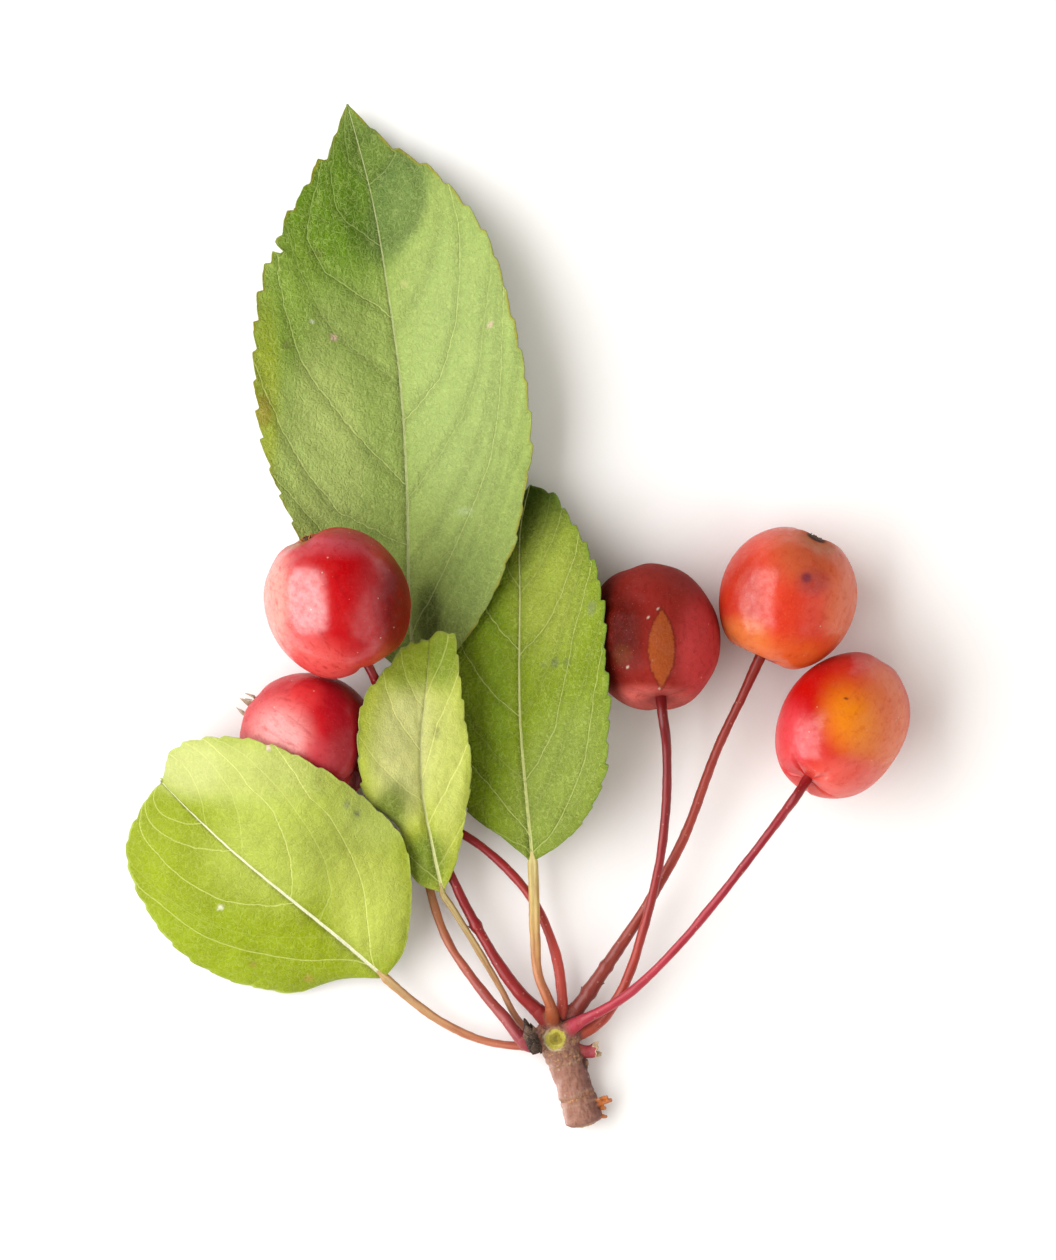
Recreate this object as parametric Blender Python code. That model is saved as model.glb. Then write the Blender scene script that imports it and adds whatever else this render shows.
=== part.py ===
"""Crabapple sprig: a short woody spur with four toothed leaves and five long-stalked fruits, lying down.

Lengths are in millimetres and become metres where a mesh is made. +Z is up, the cut end of the spur points
along -Y, and the origin is under the middle of the sprig, on the surface that it lies on."""

import math

import bmesh
import bpy
import numpy as np
from mathutils import Matrix, Vector

MM = 0.001
GAP = 0.3
STALK_END_GAP = 0.45

# The whole sprig is moved by this much, so that the origin comes under the middle of its box.
SHIFT = Vector((0.2, 1.1, 0.0))

# Leaf blades: each is a midrib and two margins, as points from the base to the tip. Blade and teeth are a
# little thicker than life so that they hold together as a solid.
BLADE_THICKNESS = 0.6
KEEL_DEPTH = 0.4
TIP_HALF_WIDTH = 0.35
BLADE_COLUMNS = (-1.0, -0.76, -0.48, -0.2, 0.0, 0.2, 0.48, 0.76, 1.0)
BASE_ROWS = (0.008, 0.025)
TIP_ROW = 0.992
TOOTH_PEAK = 0.78
TEETH_GROW_BY = 1 / 6
TEETH_SHRINK_OVER = 1 / 12
RIPPLE_WAVES = 4

LEAVES = {
    "leaf_top": {
        "midrib": [
            (-15.4, -9.7, 3.2),
            (-16.3, 2.3, 1.8),
            (-16.6, 17.3, 0.9),
            (-17.6, 34.6, 0.8),
            (-19.4, 48.1, 0.9),
            (-21.8, 62.3, 1.6),
            (-25.6, 76.9, 3.4),
        ],
        "left": [
            (-15.4, -9.7, 3.2),
            (-21.8, -4.9, 3.2),
            (-28.9, 3.5, 3.5),
            (-34.1, 14.3, 4.7),
            (-37.9, 24.1, 5.6),
            (-39.5, 34.6, 6.2),
            (-39.2, 45.1, 6.4),
            (-36.8, 54.8, 6.2),
            (-32.3, 63.8, 5.4),
            (-28.1, 70.6, 4.2),
            (-25.6, 76.9, 3.4),
        ],
        "right": [
            (-15.4, -9.7, 3.2),
            (-10.1, -6.2, 5.0),
            (-4.1, 1.9, 8.0),
            (0.1, 12.8, 10.5),
            (2.0, 24.8, 11.8),
            (1.4, 35.3, 12.0),
            (-0.8, 45.1, 11.4),
            (-3.7, 55.1, 9.6),
            (-7.9, 61.9, 7.4),
            (-13.4, 67.3, 5.2),
            (-19.9, 71.3, 3.6),
            (-25.6, 76.9, 3.4),
        ],
        "teeth": 22,
        "tooth_depth": 0.8,
        "sweep": 0.5,
        "cup": (1.5, 1.3),
        "arch": (0.0, 0.0),
        "ripple": 0.35,
        "colour": (0.13, 0.24, 0.05),
    },
    "leaf_middle": {
        "midrib": [
            (2.3, -37.0, 5.4),
            (1.4, -27.7, 6.0),
            (0.4, -14.9, 6.6),
            (0.4, 2.3, 6.4),
            (0.5, 12.8, 5.0),
            (1.9, 19.6, 3.2),
        ],
        "left": [
            (2.3, -37.0, 5.4),
            (-2.6, -33.2, 4.6),
            (-7.6, -29.5, 3.8),
            (-10.3, -20.2, 3.4),
            (-10.6, -9.7, 3.2),
            (-8.9, 0.8, 3.0),
            (-4.9, 9.8, 2.8),
            (1.9, 19.6, 3.2),
        ],
        "right": [
            (2.3, -37.0, 5.4),
            (6.4, -34.4, 7.4),
            (10.4, -30.4, 10.2),
            (13.1, -23.9, 14.0),
            (13.7, -14.9, 17.4),
            (13.1, -4.4, 18.2),
            (12.4, 3.8, 16.2),
            (8.8, 13.1, 9.8),
            (4.9, 18.4, 5.4),
            (1.9, 19.6, 3.2),
        ],
        "teeth": 20,
        "tooth_depth": 0.45,
        "sweep": 0.5,
        "cup": (1.1, 1.1),
        "arch": (0.2, 0.0),
        "ripple": 0.2,
        "colour": (0.21, 0.36, 0.05),
    },
    "leaf_small": {
        "midrib": [
            (-11.2, -41.6, 7.4),
            (-12.8, -34.4, 9.8),
            (-14.2, -26.9, 11.0),
            (-14.5, -18.7, 12.0),
            (-13.6, -10.4, 12.0),
            (-13.1, -3.7, 10.6),
        ],
        "left": [
            (-11.2, -41.6, 7.4),
            (-15.4, -39.7, 7.9),
            (-18.1, -31.9, 10.0),
            (-22.7, -26.9, 14.6),
            (-23.9, -19.4, 18.3),
            (-23.3, -13.4, 17.4),
            (-21.8, -10.6, 15.7),
            (-19.1, -7.3, 13.4),
            (-16.0, -4.0, 11.8),
            (-13.1, -3.7, 10.6),
        ],
        "right": [
            (-11.2, -41.6, 7.4),
            (-9.1, -37.0, 9.0),
            (-7.6, -29.2, 10.4),
            (-6.8, -22.4, 11.6),
            (-8.0, -14.5, 12.2),
            (-8.8, -7.4, 12.0),
            (-9.7, -3.1, 11.0),
            (-11.9, -2.5, 10.6),
            (-13.1, -3.7, 10.6),
        ],
        "teeth": 13,
        "tooth_depth": 0.35,
        "sweep": 0.4,
        "cup": (1.0, 1.2),
        "arch": (0.6, 0.2),
        "ripple": 0.25,
        "colour": (0.36, 0.47, 0.12),
    },
    "leaf_left": {
        "midrib": [
            (-19.9, -54.4, 4.8),
            (-27.4, -47.9, 7.4),
            (-35.6, -41.2, 9.4),
            (-43.1, -34.9, 9.8),
            (-48.8, -29.6, 8.0),
            (-53.6, -24.8, 4.4),
        ],
        "left": [
            (-19.9, -54.4, 4.8),
            (-25.9, -54.5, 3.6),
            (-33.4, -56.6, 2.2),
            (-41.6, -55.4, 1.4),
            (-50.3, -51.1, 1.2),
            (-56.3, -43.4, 1.6),
            (-58.9, -35.2, 2.6),
            (-56.9, -29.5, 3.6),
            (-53.6, -24.8, 4.4),
        ],
        "right": [
            (-19.9, -54.4, 4.8),
            (-17.0, -50.2, 7.0),
            (-15.8, -41.2, 9.8),
            (-17.0, -33.7, 11.6),
            (-21.4, -28.6, 15.0),
            (-27.4, -23.9, 19.9),
            (-33.4, -20.8, 21.4),
            (-40.1, -18.5, 18.8),
            (-46.9, -18.4, 13.4),
            (-52.1, -20.6, 8.2),
            (-53.6, -24.8, 4.4),
        ],
        "teeth": 18,
        "tooth_depth": 0.3,
        "sweep": 0.3,
        "cup": (1.0, 1.0),
        "arch": (1.2, 1.0),
        "ripple": 0.25,
        "colour": (0.4, 0.5, 0.05),
    },
}

# Fruits: axis is the way that the stalk leaves, and turn and rise are its angle in plan and above the table.
STALK_PIT_DEPTH = 1.7
STALK_PIT_WIDTH = 0.34
EYE_DEPTH = 0.8
EYE_WIDTH = 0.26
FRUIT_FULLNESS = 0.95
FRUIT_SIDES = 22
FRUIT_RINGS = 14

FRUITS = {
    "fruit_1": {"centre": (-26.9, 1.9, 15.8), "turn": -64, "rise": -8, "radius": 10.8, "half": 11.4},
    "fruit_2": {"centre": (-31.1, -18.7, 10.1), "turn": -29, "rise": 20, "radius": 10.0, "half": 10.5},
    "fruit_3": {"centre": (20.3, -3.4, 9.9), "turn": -83, "rise": 24, "radius": 10.0, "half": 11.4},
    "fruit_4": {"centre": (40.5, 2.6, 9.9), "turn": -115, "rise": 0, "radius": 10.0, "half": 10.6},
    "fruit_5": {"centre": (48.6, -16.6, 11.2), "turn": -124, "rise": 24, "radius": 9.4, "half": 11.9},
}
FRUIT_COLOURS = {
    "fruit_1": (0.5, 0.02, 0.03),
    "fruit_2": (0.46, 0.03, 0.04),
    "fruit_3": (0.3, 0.02, 0.025),
    "fruit_4": (0.58, 0.09, 0.03),
    "fruit_5": (0.6, 0.06, 0.03),
}

# Dry sepals in the eye of each fruit. Each ring of the calyx, from its foot to its floor, says how deep and
# how far out the sepals are, then the notches between them: in millimetres, plus a share of the sepal length.
SEPALS = 5
CALYX_RINGS = (
    ((0.0, 0.0), (0.49, 0.0), (0.0, 0.0), (0.49, 0.0)),
    ((0.35, 0.0), (0.7, 0.0), (0.35, 0.0), (0.6, 0.0)),
    ((0.35, 1.0), (0.63, 0.38), (0.35, 0.1), (0.63, 0.0)),
    ((0.35, 0.55), (0.57, 0.15), (0.35, 0.1), (0.57, 0.0)),
    ((0.45, 0.0), (0.28, 0.0), (0.45, 0.0), (0.24, 0.0)),
)
SEPAL_LENGTHS = {"fruit_1": 0.9, "fruit_2": 2.6, "fruit_3": 0.9, "fruit_4": 0.9, "fruit_5": 1.0}

# Stalks run from the crown of the spur outwards. A fruit stalk ends in the pit of its fruit and a leaf stalk
# at the base of its blade, so the last point is worked out. Radii go from the crown to the far end, straight
# is how far a fruit stalk runs straight out of its pit, and knots are shares where old bracts left a bump.
STALK_SIDES = 8
STALK_STEP = 3.2
STALK_RINGS_LEAST = 6
KNOT_HEIGHT = 0.2
KNOT_WIDTH = 0.7
COLLAR_LENGTH = 4.6
COLLAR_SWELL = 1.12

STALKS = {
    "fruit_1_stalk": {
        "points": [
            (5.6, -62.2, 3.2),
            (4.1, -60.4, 4.2),
            (-0.1, -56.2, 5.4),
            (-4.1, -50.2, 6.0),
            (-7.9, -43.4, 6.2),
            (-13.1, -31.9, 7.7),
            (-17.6, -19.4, 10.8),
            (-20.5, -11.5, 12.7),
        ],
        "straight": 1.0,
        "radii": (1.3, 1.0, 0.75, 0.65, 0.75),
        "knots": (0.31,),
    },
    "fruit_2_stalk": {
        "points": [
            (6.4, -62.9, 3.0),
            (6.7, -57.7, 4.4),
            (5.3, -49.4, 4.8),
            (1.4, -41.5, 4.8),
            (-5.6, -34.6, 4.6),
            (-14.2, -29.5, 5.7),
            (-18.4, -26.6, 9.4),
        ],
        "straight": 0.6,
        "radii": (1.05, 0.85, 0.7, 0.6, 0.7),
    },
    "fruit_3_stalk": {
        "points": [
            (7.9, -63.4, 2.4),
            (12.4, -61.0, 3.4),
            (16.1, -55.4, 5.2),
            (19.1, -46.4, 7.0),
            (21.2, -37.4, 9.0),
            (22.3, -27.7, 11.4),
            (22.3, -19.4, 13.6),
        ],
        "straight": 2.0,
        "radii": (1.05, 0.85, 0.7, 0.7, 0.85),
    },
    "fruit_4_stalk": {
        "points": [
            (6.7, -62.2, 2.6),
            (9.4, -58.4, 4.0),
            (14.6, -50.9, 4.8),
            (19.9, -42.7, 5.6),
            (24.8, -33.7, 6.8),
            (29.9, -20.2, 8.8),
            (34.1, -11.2, 10.0),
        ],
        "straight": 1.5,
        "radii": (1.3, 1.1, 0.8, 0.7, 0.85),
        "knots": (0.11, 0.18),
    },
    "fruit_5_stalk": {
        "points": [
            (6.4, -62.8, 4.2),
            (9.4, -61.0, 5.6),
            (16.1, -57.2, 6.8),
            (22.9, -50.9, 7.8),
            (29.6, -43.0, 9.4),
            (37.9, -32.2, 12.8),
        ],
        "straight": 2.0,
        "radii": (1.15, 0.8, 0.65, 0.65, 0.8),
    },
    "leaf_top_stalk": {
        "points": [
            (4.1, -63.7, 4.0),
            (1.6, -64.3, 5.4),
            (-1.7, -60.7, 5.6),
            (-6.4, -55.0, 4.8),
            (-10.6, -48.7, 4.0),
            (-13.1, -41.5, 3.2),
            (-14.5, -32.2, 2.8),
            (-15.1, -20.9, 2.8),
        ],
        "radii": (1.3, 0.9, 0.65, 0.6, 0.7),
    },
    "leaf_middle_stalk": {
        "points": [
            (5.3, -62.2, 4.0),
            (5.0, -58.9, 6.6),
            (3.1, -53.9, 7.6),
            (2.6, -47.9, 7.4),
            (2.5, -42.7, 6.8),
        ],
        "radii": (1.0, 0.9, 0.7, 0.75, 0.7),
    },
    "leaf_small_stalk": {
        "points": [
            (4.1, -63.7, 3.0),
            (0.5, -61.3, 3.6),
            (-2.6, -55.9, 4.8),
            (-6.4, -49.4, 6.4),
            (-9.8, -43.9, 7.2),
        ],
        "radii": (0.8, 0.6, 0.5, 0.5, 0.5),
    },
    "leaf_left_stalk": {
        "points": [
            (4.9, -64.6, 2.5),
            (-0.4, -64.7, 2.4),
            (-5.6, -63.8, 2.3),
            (-11.6, -61.0, 2.6),
            (-16.1, -57.7, 3.4),
        ],
        "radii": (0.85, 0.7, 0.6, 0.6, 0.65),
    },
}
RADIUS_SHARES = (0.0, 0.1, 0.3, 0.8, 1.0)

# Spur: a twig from its cut end up to the crown. Its rings are the scars of old bud scales and, where the
# height is below zero, the crack that girdles it, each at a share of the length.
SPUR_POINTS = [(10.3, -76.8, 2.72), (8.9, -71.9, 2.8), (7.6, -67.9, 3.0), (6.1, -64.0, 3.2)]
SPUR_RADII = (2.85, 2.75, 2.6, 2.7, 2.9)
SPUR_SIDES = 16
SPUR_PLAIN_SHARES = (0.0, 0.12, 0.2, 0.52, 0.62, 1.0)
SPUR_RINGS = ((0.27, 0.14), (0.33, -0.3), (0.4, 0.22), (0.72, 0.22), (0.82, 0.22), (0.9, 0.22))
SPUR_RING_WIDTH = 0.02
CROWN_CENTRE = Vector((6.0, -63.2, 3.3))
CROWN_RADII = Vector((3.3, 2.9, 2.9))
SCAR_CENTRE = Vector((5.7, -63.6, 5.9))
SCAR_RADIUS = 1.5
SCAR_RIM = 0.5
SCAR_HEIGHT = 1.8
SCAR_DISH = 0.35
SCAR_WALL = 0.1
SLIVER_SIDES = 4
SLIVER_TIP_WIDTH = 0.2
SLIVERS = [
    ((11.6, -73.6, 3.3), (14.3, -72.6, 3.9), 0.55),
    ((11.8, -75.2, 2.9), (13.5, -75.2, 3.1), 0.5),
]

# Dead bud and broken stalk, each from its foot to its end.
BUD_FOOT = Vector((2.9, -65.6, 7.8))
BUD_TIP = Vector((1.0, -60.4, 8.8))
BUD_RADIUS = 1.15
BUD_SIDES = 10
BUD_SCALES = 4
BUD_SCALE_STEP = 0.18
BUD_SCALE_LAP = 0.92
BUD_TIP_RADIUS = 0.2
STUB_POINTS = [(10.5, -65.7, 3.0), (11.7, -65.6, 3.4), (13.0, -65.4, 3.7)]
STUB_SHARES = (0.0, 0.4, 0.75, 1.0)
STUB_RADII = (0.9, 0.85, 0.9, 1.0)
STUB_SIDES = 10
STUB_HOLLOW_RADIUS = 0.5
STUB_HOLLOW_DEPTH = 0.9

BARK = (0.2, 0.11, 0.08)
DEAD_WOOD = (0.08, 0.05, 0.035)
DRY_SEPAL = (0.16, 0.11, 0.07)
RED_STALK = (0.25, 0.02, 0.03)
TAN_STALK = (0.42, 0.24, 0.1)


class Path:
    """The smooth curve through some points, read by the share of its length."""

    def __init__(self, points, steps=24):
        points = [Vector(p) for p in points]
        knots = [2 * points[0] - points[1], *points, 2 * points[-1] - points[-2]]
        dense = []
        for before, start, end, after in zip(knots, knots[1:], knots[2:], knots[3:]):
            gaps = [math.sqrt((b - a).length) for a, b in ((before, start), (start, end), (end, after))]
            steps_in = [(start - before) / gaps[0], (end - start) / gaps[1], (after - end) / gaps[2]]
            leave = steps_in[0] + steps_in[1] - (end - before) / (gaps[0] + gaps[1])
            arrive = steps_in[1] + steps_in[2] - (after - start) / (gaps[1] + gaps[2])
            for t in np.arange(steps) / steps:
                dense.append(
                    start * (2 * t**3 - 3 * t**2 + 1)
                    + leave * gaps[1] * (t**3 - 2 * t**2 + t)
                    + end * (3 * t**2 - 2 * t**3)
                    + arrive * gaps[1] * (t**3 - t**2)
                )
        dense.append(points[-1])
        self.dense = np.array(dense)
        reach = np.linalg.norm(np.diff(self.dense, axis=0), axis=1).cumsum()
        self.length = float(reach[-1])
        self.shares = np.concatenate([[0], reach / reach[-1]])

    def at(self, share):
        return Vector([np.interp(share, self.shares, self.dense[:, k]) for k in range(3)])

    def along(self, share):
        """The direction of the curve at a share of its length."""
        return (self.at(min(share + 0.01, 1)) - self.at(max(share - 0.01, 0))).normalized()


def clear_scene():
    for found in list(bpy.data.objects):
        bpy.data.objects.remove(found, do_unlink=True)


def plain_material(name, colour, roughness=0.5):
    material = bpy.data.materials.new(name)
    material.use_nodes = True
    shader = material.node_tree.nodes["Principled BSDF"]
    shader.inputs["Base Color"].default_value = (*colour, 1)
    shader.inputs["Roughness"].default_value = roughness
    shader.inputs["Metallic"].default_value = 0
    material.diffuse_color = (*colour, 1)
    return material


def add_object(name, bm, material, place, root=None):
    """Makes an object of a mesh in millimetres, with its origin at place."""
    bmesh.ops.recalc_face_normals(bm, faces=bm.faces)
    bmesh.ops.translate(bm, verts=bm.verts, vec=-place)
    bmesh.ops.scale(bm, verts=bm.verts, vec=(MM, MM, MM))
    mesh = bpy.data.meshes.new(name)
    bm.to_mesh(mesh)
    bm.free()
    mesh.materials.append(material)
    mesh.shade_smooth()
    mesh.set_sharp_from_angle(angle=math.radians(40))
    made = bpy.data.objects.new(name, mesh)
    made.location = (place + SHIFT) * MM
    made.parent = root
    bpy.context.collection.objects.link(made)
    return made


def cut_flat_at_table(bm):
    """Cuts away what is below the table and closes the flat spot that it leaves."""
    geometry = [*bm.verts, *bm.edges, *bm.faces]
    cut = bmesh.ops.bisect_plane(
        bm, geom=geometry, dist=1e-5, plane_co=(0, 0, 0), plane_no=(0, 0, 1), clear_inner=True
    )
    rim = [e for e in cut["geom_cut"] if isinstance(e, bmesh.types.BMEdge)]
    if rim:
        bmesh.ops.contextual_create(bm, geom=rim)


def loft(bm, rings):
    """Joins rings of equally many points with quads, and closes both ends."""
    rows = [[bm.verts.new(p) for p in ring] for ring in rings]
    for low, high in zip(rows, rows[1:]):
        for i in range(len(low)):
            j = (i + 1) % len(low)
            bm.faces.new((low[i], low[j], high[j], high[i]))
    bm.faces.new(list(reversed(rows[0])))
    bm.faces.new(rows[-1])


def tube_rings(path, radius_at, shares, sides):
    """Rings round a path that turn with it and don't twist."""
    rings = []
    across = path.along(shares[0]).orthogonal().normalized()
    for share in shares:
        ahead = path.along(share)
        across = (across - ahead * across.dot(ahead)).normalized()
        other = ahead.cross(across)
        radius = radius_at(share)
        turns = [math.tau * i / sides for i in range(sides)]
        rings.append([path.at(share) + radius * (across * math.cos(a) + other * math.sin(a)) for a in turns])
    return rings


def blade_point(leaf, paths, share, across):
    """A point midway through the blade. share runs from base to tip, and across from -1 at the left margin
    over 0 at the midrib to 1 at the right one. Points off the midrib lie further on, as side veins do."""
    midrib, left, right = paths
    reach = 1 + leaf["sweep"]
    rib_share = (reach - math.sqrt(reach**2 - 4 * leaf["sweep"] * share)) / (2 * leaf["sweep"])
    rib = midrib.at(rib_share)
    side = 1 if across > 0 else 0
    margin = (left, right)[side].at(share)
    out = (margin - rib) * Vector((1, 1, 0))
    if out.length < TIP_HALF_WIDTH:
        turn = 1 if side else -1
        ahead = midrib.along(rib_share)
        out = Vector((ahead.y, -ahead.x, 0)).normalized() * turn * TIP_HALF_WIDTH
    phase = share * leaf["teeth"] % 1
    tooth = phase / TOOTH_PEAK if phase < TOOTH_PEAK else (1 - phase) / (1 - TOOTH_PEAK)
    fade = min(1.0, share / TEETH_GROW_BY, (1 - share) / TEETH_SHRINK_OVER)
    out += out.normalized() * leaf["tooth_depth"] * (tooth - 0.5) * fade
    width = abs(across)
    rise = (margin.z - rib.z) * width ** leaf["cup"][side]
    rise += leaf["arch"][side] * math.sin(math.pi * width) * math.sin(math.pi * share)
    rise += leaf["ripple"] * width**2 * math.sin(math.tau * RIPPLE_WAVES * share + 2 * side) * fade
    return rib + out * width + Vector((0, 0, rise))


def blade_normals(grid):
    """The upward normal at each point of a grid of rows."""
    points = np.array([[list(p) for p in row] for row in grid])
    along = np.gradient(points, axis=0)
    across = np.gradient(points, axis=1)
    normals = np.cross(across, along)
    return normals / np.linalg.norm(normals, axis=2, keepdims=True)


def build_leaf(name, leaf, root):
    """A blade whose two faces are split into triangles alike, with a keel under the midrib."""
    paths = [Path(leaf[k]) for k in ("midrib", "left", "right")]
    shares = [(i + part) / leaf["teeth"] for i in range(leaf["teeth"]) for part in (0, TOOTH_PEAK)]
    shares = [*BASE_ROWS, *[s for s in shares[1:] if s < TIP_ROW - BASE_ROWS[0]], TIP_ROW]
    grid = [[blade_point(leaf, paths, s, v) for v in BLADE_COLUMNS] for s in shares]
    normals = blade_normals(grid)
    bm = bmesh.new()
    tops, bottoms = [], []
    for row, row_normals in zip(grid, normals):
        tops.append([])
        bottoms.append([])
        for point, normal, across in zip(row, row_normals, BLADE_COLUMNS):
            normal = Vector(normal) * BLADE_THICKNESS / 2
            depth = 1 + KEEL_DEPTH * 2 / BLADE_THICKNESS * (across == 0)
            tops[-1].append(bm.verts.new(point + normal))
            bottoms[-1].append(bm.verts.new(point - normal * depth))
    last_row, last_column = len(shares) - 1, len(BLADE_COLUMNS) - 1
    for i in range(last_row):
        for j in range(last_column):
            for skin in (tops, bottoms):
                a, b, c, d = skin[i][j], skin[i][j + 1], skin[i + 1][j + 1], skin[i + 1][j]
                bm.faces.new((a, b, c))
                bm.faces.new((a, c, d))
        for j in (0, last_column):
            bm.faces.new((tops[i][j], tops[i + 1][j], bottoms[i + 1][j], bottoms[i][j]))
    for i in (0, last_row):
        for j in range(last_column):
            bm.faces.new((tops[i][j], tops[i][j + 1], bottoms[i][j + 1], bottoms[i][j]))
    cut_flat_at_table(bm)
    add_object(name, bm, plain_material(name, leaf["colour"], 0.6), Vector(leaf["midrib"][0]), root)


def fruit_axis(fruit):
    turn, rise = math.radians(fruit["turn"]), math.radians(fruit["rise"])
    return Vector((math.cos(turn) * math.cos(rise), math.sin(turn) * math.cos(rise), math.sin(rise)))


def fruit_profile(fruit, turn):
    """How far along the axis, and how far out, the skin is at a turn from 0 (stalk's pit) to pi (eye)."""
    along = fruit["half"] * math.cos(turn)
    along -= STALK_PIT_DEPTH * math.exp(-((turn / STALK_PIT_WIDTH) ** 2))
    along += EYE_DEPTH * math.exp(-(((math.pi - turn) / EYE_WIDTH) ** 2))
    return along, fruit["radius"] * math.sin(turn) ** FRUIT_FULLNESS


def build_fruit(name, fruit, root):
    bm = bmesh.new()
    rows = []
    for i in range(1, FRUIT_RINGS):
        along, out = fruit_profile(fruit, math.pi * i / FRUIT_RINGS)
        turns = [math.tau * k / FRUIT_SIDES for k in range(FRUIT_SIDES)]
        rows.append([bm.verts.new((out * math.cos(a), out * math.sin(a), along)) for a in turns])
    for low, high in zip(rows, rows[1:]):
        for k in range(FRUIT_SIDES):
            j = (k + 1) % FRUIT_SIDES
            bm.faces.new((low[k], low[j], high[j], high[k]))
    for row, turn in ((rows[0], 0), (rows[-1], math.pi)):
        pole = bm.verts.new((0, 0, fruit_profile(fruit, turn)[0]))
        for k in range(FRUIT_SIDES):
            bm.faces.new((row[k], row[(k + 1) % FRUIT_SIDES], pole))
    centre = Vector(fruit["centre"])
    lie = Vector((0, 0, 1)).rotation_difference(fruit_axis(fruit)).to_matrix()
    bmesh.ops.transform(bm, verts=bm.verts, matrix=Matrix.Translation(centre) @ lie.to_4x4())
    bmesh.ops.recalc_face_normals(bm, faces=bm.faces)
    cut_flat_at_table(bm)
    add_object(name, bm, plain_material(name, FRUIT_COLOURS[name], 0.3), centre, root)


def build_calyx(name, fruit, sepal_length, root):
    """A small dry cup with five pointed sepals, seated in the eye of the fruit."""
    foot = fruit_profile(fruit, math.pi)[0] - GAP
    bm = bmesh.new()
    rings = []
    for ring in CALYX_RINGS:
        sepal_depth, sepal_out, notch_depth, notch_out = (flat + share * sepal_length for flat, share in ring)
        rings.append([])
        for i in range(2 * SEPALS):
            depth, out = (notch_depth, notch_out) if i % 2 else (sepal_depth, sepal_out)
            angle = math.pi * i / SEPALS
            rings[-1].append((out * math.cos(angle), out * math.sin(angle), foot - depth))
    loft(bm, rings)
    centre = Vector(fruit["centre"])
    lie = Vector((0, 0, 1)).rotation_difference(fruit_axis(fruit)).to_matrix()
    bmesh.ops.transform(bm, verts=bm.verts, matrix=Matrix.Translation(centre) @ lie.to_4x4())
    place = centre + fruit_axis(fruit) * foot
    add_object(name, bm, plain_material(name, DRY_SEPAL, 0.9), place, root)


def stalk_path(name):
    """The stalk's curve, with the end that its fruit or leaf gives it."""
    points = list(STALKS[name]["points"])
    owner = name.removesuffix("_stalk")
    if owner in FRUITS:
        fruit = FRUITS[owner]
        centre, axis = Vector(fruit["centre"]), fruit_axis(fruit)
        points.append(centre + axis * (fruit["half"] + STALKS[name]["straight"]))
        points.append(centre + axis * (fruit_profile(fruit, 0)[0] + STALK_END_GAP))
    else:
        midrib = Path(LEAVES[owner]["midrib"])
        points.append(midrib.at(0) - midrib.along(0) * GAP)
    return Path(points)


def stalk_radius(name, share, length):
    radius = float(np.interp(share, RADIUS_SHARES, STALKS[name]["radii"]))
    knots = [math.exp(-(((share - at) * length / KNOT_WIDTH) ** 2)) for at in STALKS[name].get("knots", ())]
    return radius + KNOT_HEIGHT * sum(knots)


def build_stalk(name, root):
    """A stalk from its collar on the crown to its fruit or leaf."""
    path = stalk_path(name)
    start = (COLLAR_LENGTH + STALK_END_GAP) / path.length
    count = max(STALK_RINGS_LEAST, round(path.length / STALK_STEP))
    step = KNOT_WIDTH / path.length
    knot_rings = [at + side * step for at in STALKS[name].get("knots", ()) for side in (-2, 0, 2)]
    plain_rings = [s for s in np.linspace(start, 1, count) if all(abs(s - k) > step for k in knot_rings)]
    shares = sorted([*plain_rings, *[k for k in knot_rings if k > start + step]])
    bm = bmesh.new()
    loft(bm, tube_rings(path, lambda s: stalk_radius(name, s, path.length), shares, STALK_SIDES))
    colour = RED_STALK if name.startswith("fruit") else TAN_STALK
    add_object(name, bm, plain_material(name, colour, 0.4), path.at(shares[0]), root)


def spur_radius(share):
    radius = float(np.interp(share, np.linspace(0, 1, len(SPUR_RADII)), SPUR_RADII))
    rings = [height * math.exp(-(((share - at) / SPUR_RING_WIDTH) ** 2)) for at, height in SPUR_RINGS]
    return radius + sum(rings)


def twig_mesh():
    path = Path(SPUR_POINTS)
    marks = [at + step for at, _ in SPUR_RINGS for step in (-SPUR_RING_WIDTH, 0, SPUR_RING_WIDTH)]
    shares = sorted([*SPUR_PLAIN_SHARES, *marks])
    bm = bmesh.new()
    loft(bm, tube_rings(path, spur_radius, shares, SPUR_SIDES))
    return bm


def crown_mesh():
    bm = bmesh.new()
    bmesh.ops.create_uvsphere(bm, u_segments=SPUR_SIDES, v_segments=10, radius=1)
    bmesh.ops.scale(bm, verts=bm.verts, vec=CROWN_RADII)
    bmesh.ops.translate(bm, verts=bm.verts, vec=CROWN_CENTRE)
    return bm


def scar_mesh():
    """The round scar of a fallen stalk: a short post with a dished top."""
    outline = [(SCAR_RADIUS, -SCAR_HEIGHT), (SCAR_RADIUS, 0), (SCAR_RADIUS - SCAR_RIM, SCAR_DISH)]
    outline.append((SCAR_RADIUS - SCAR_RIM - SCAR_WALL, 0.0))
    bm = bmesh.new()
    rings = []
    for out, up in outline:
        turns = [math.tau * i / SPUR_SIDES for i in range(SPUR_SIDES)]
        rings.append([SCAR_CENTRE + Vector((out * math.cos(a), out * math.sin(a), up)) for a in turns])
    loft(bm, rings)
    return bm


def sliver_mesh(foot, tip, width):
    """A splinter of torn wood, wide at the foot and pointed at the tip."""
    path = Path([foot, (Vector(foot) + Vector(tip)) / 2, tip])
    bm = bmesh.new()
    taper = 1 - SLIVER_TIP_WIDTH
    loft(bm, tube_rings(path, lambda s: width * (1 - taper * s), (0, 0.5, 1), SLIVER_SIDES))
    return bm


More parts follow.
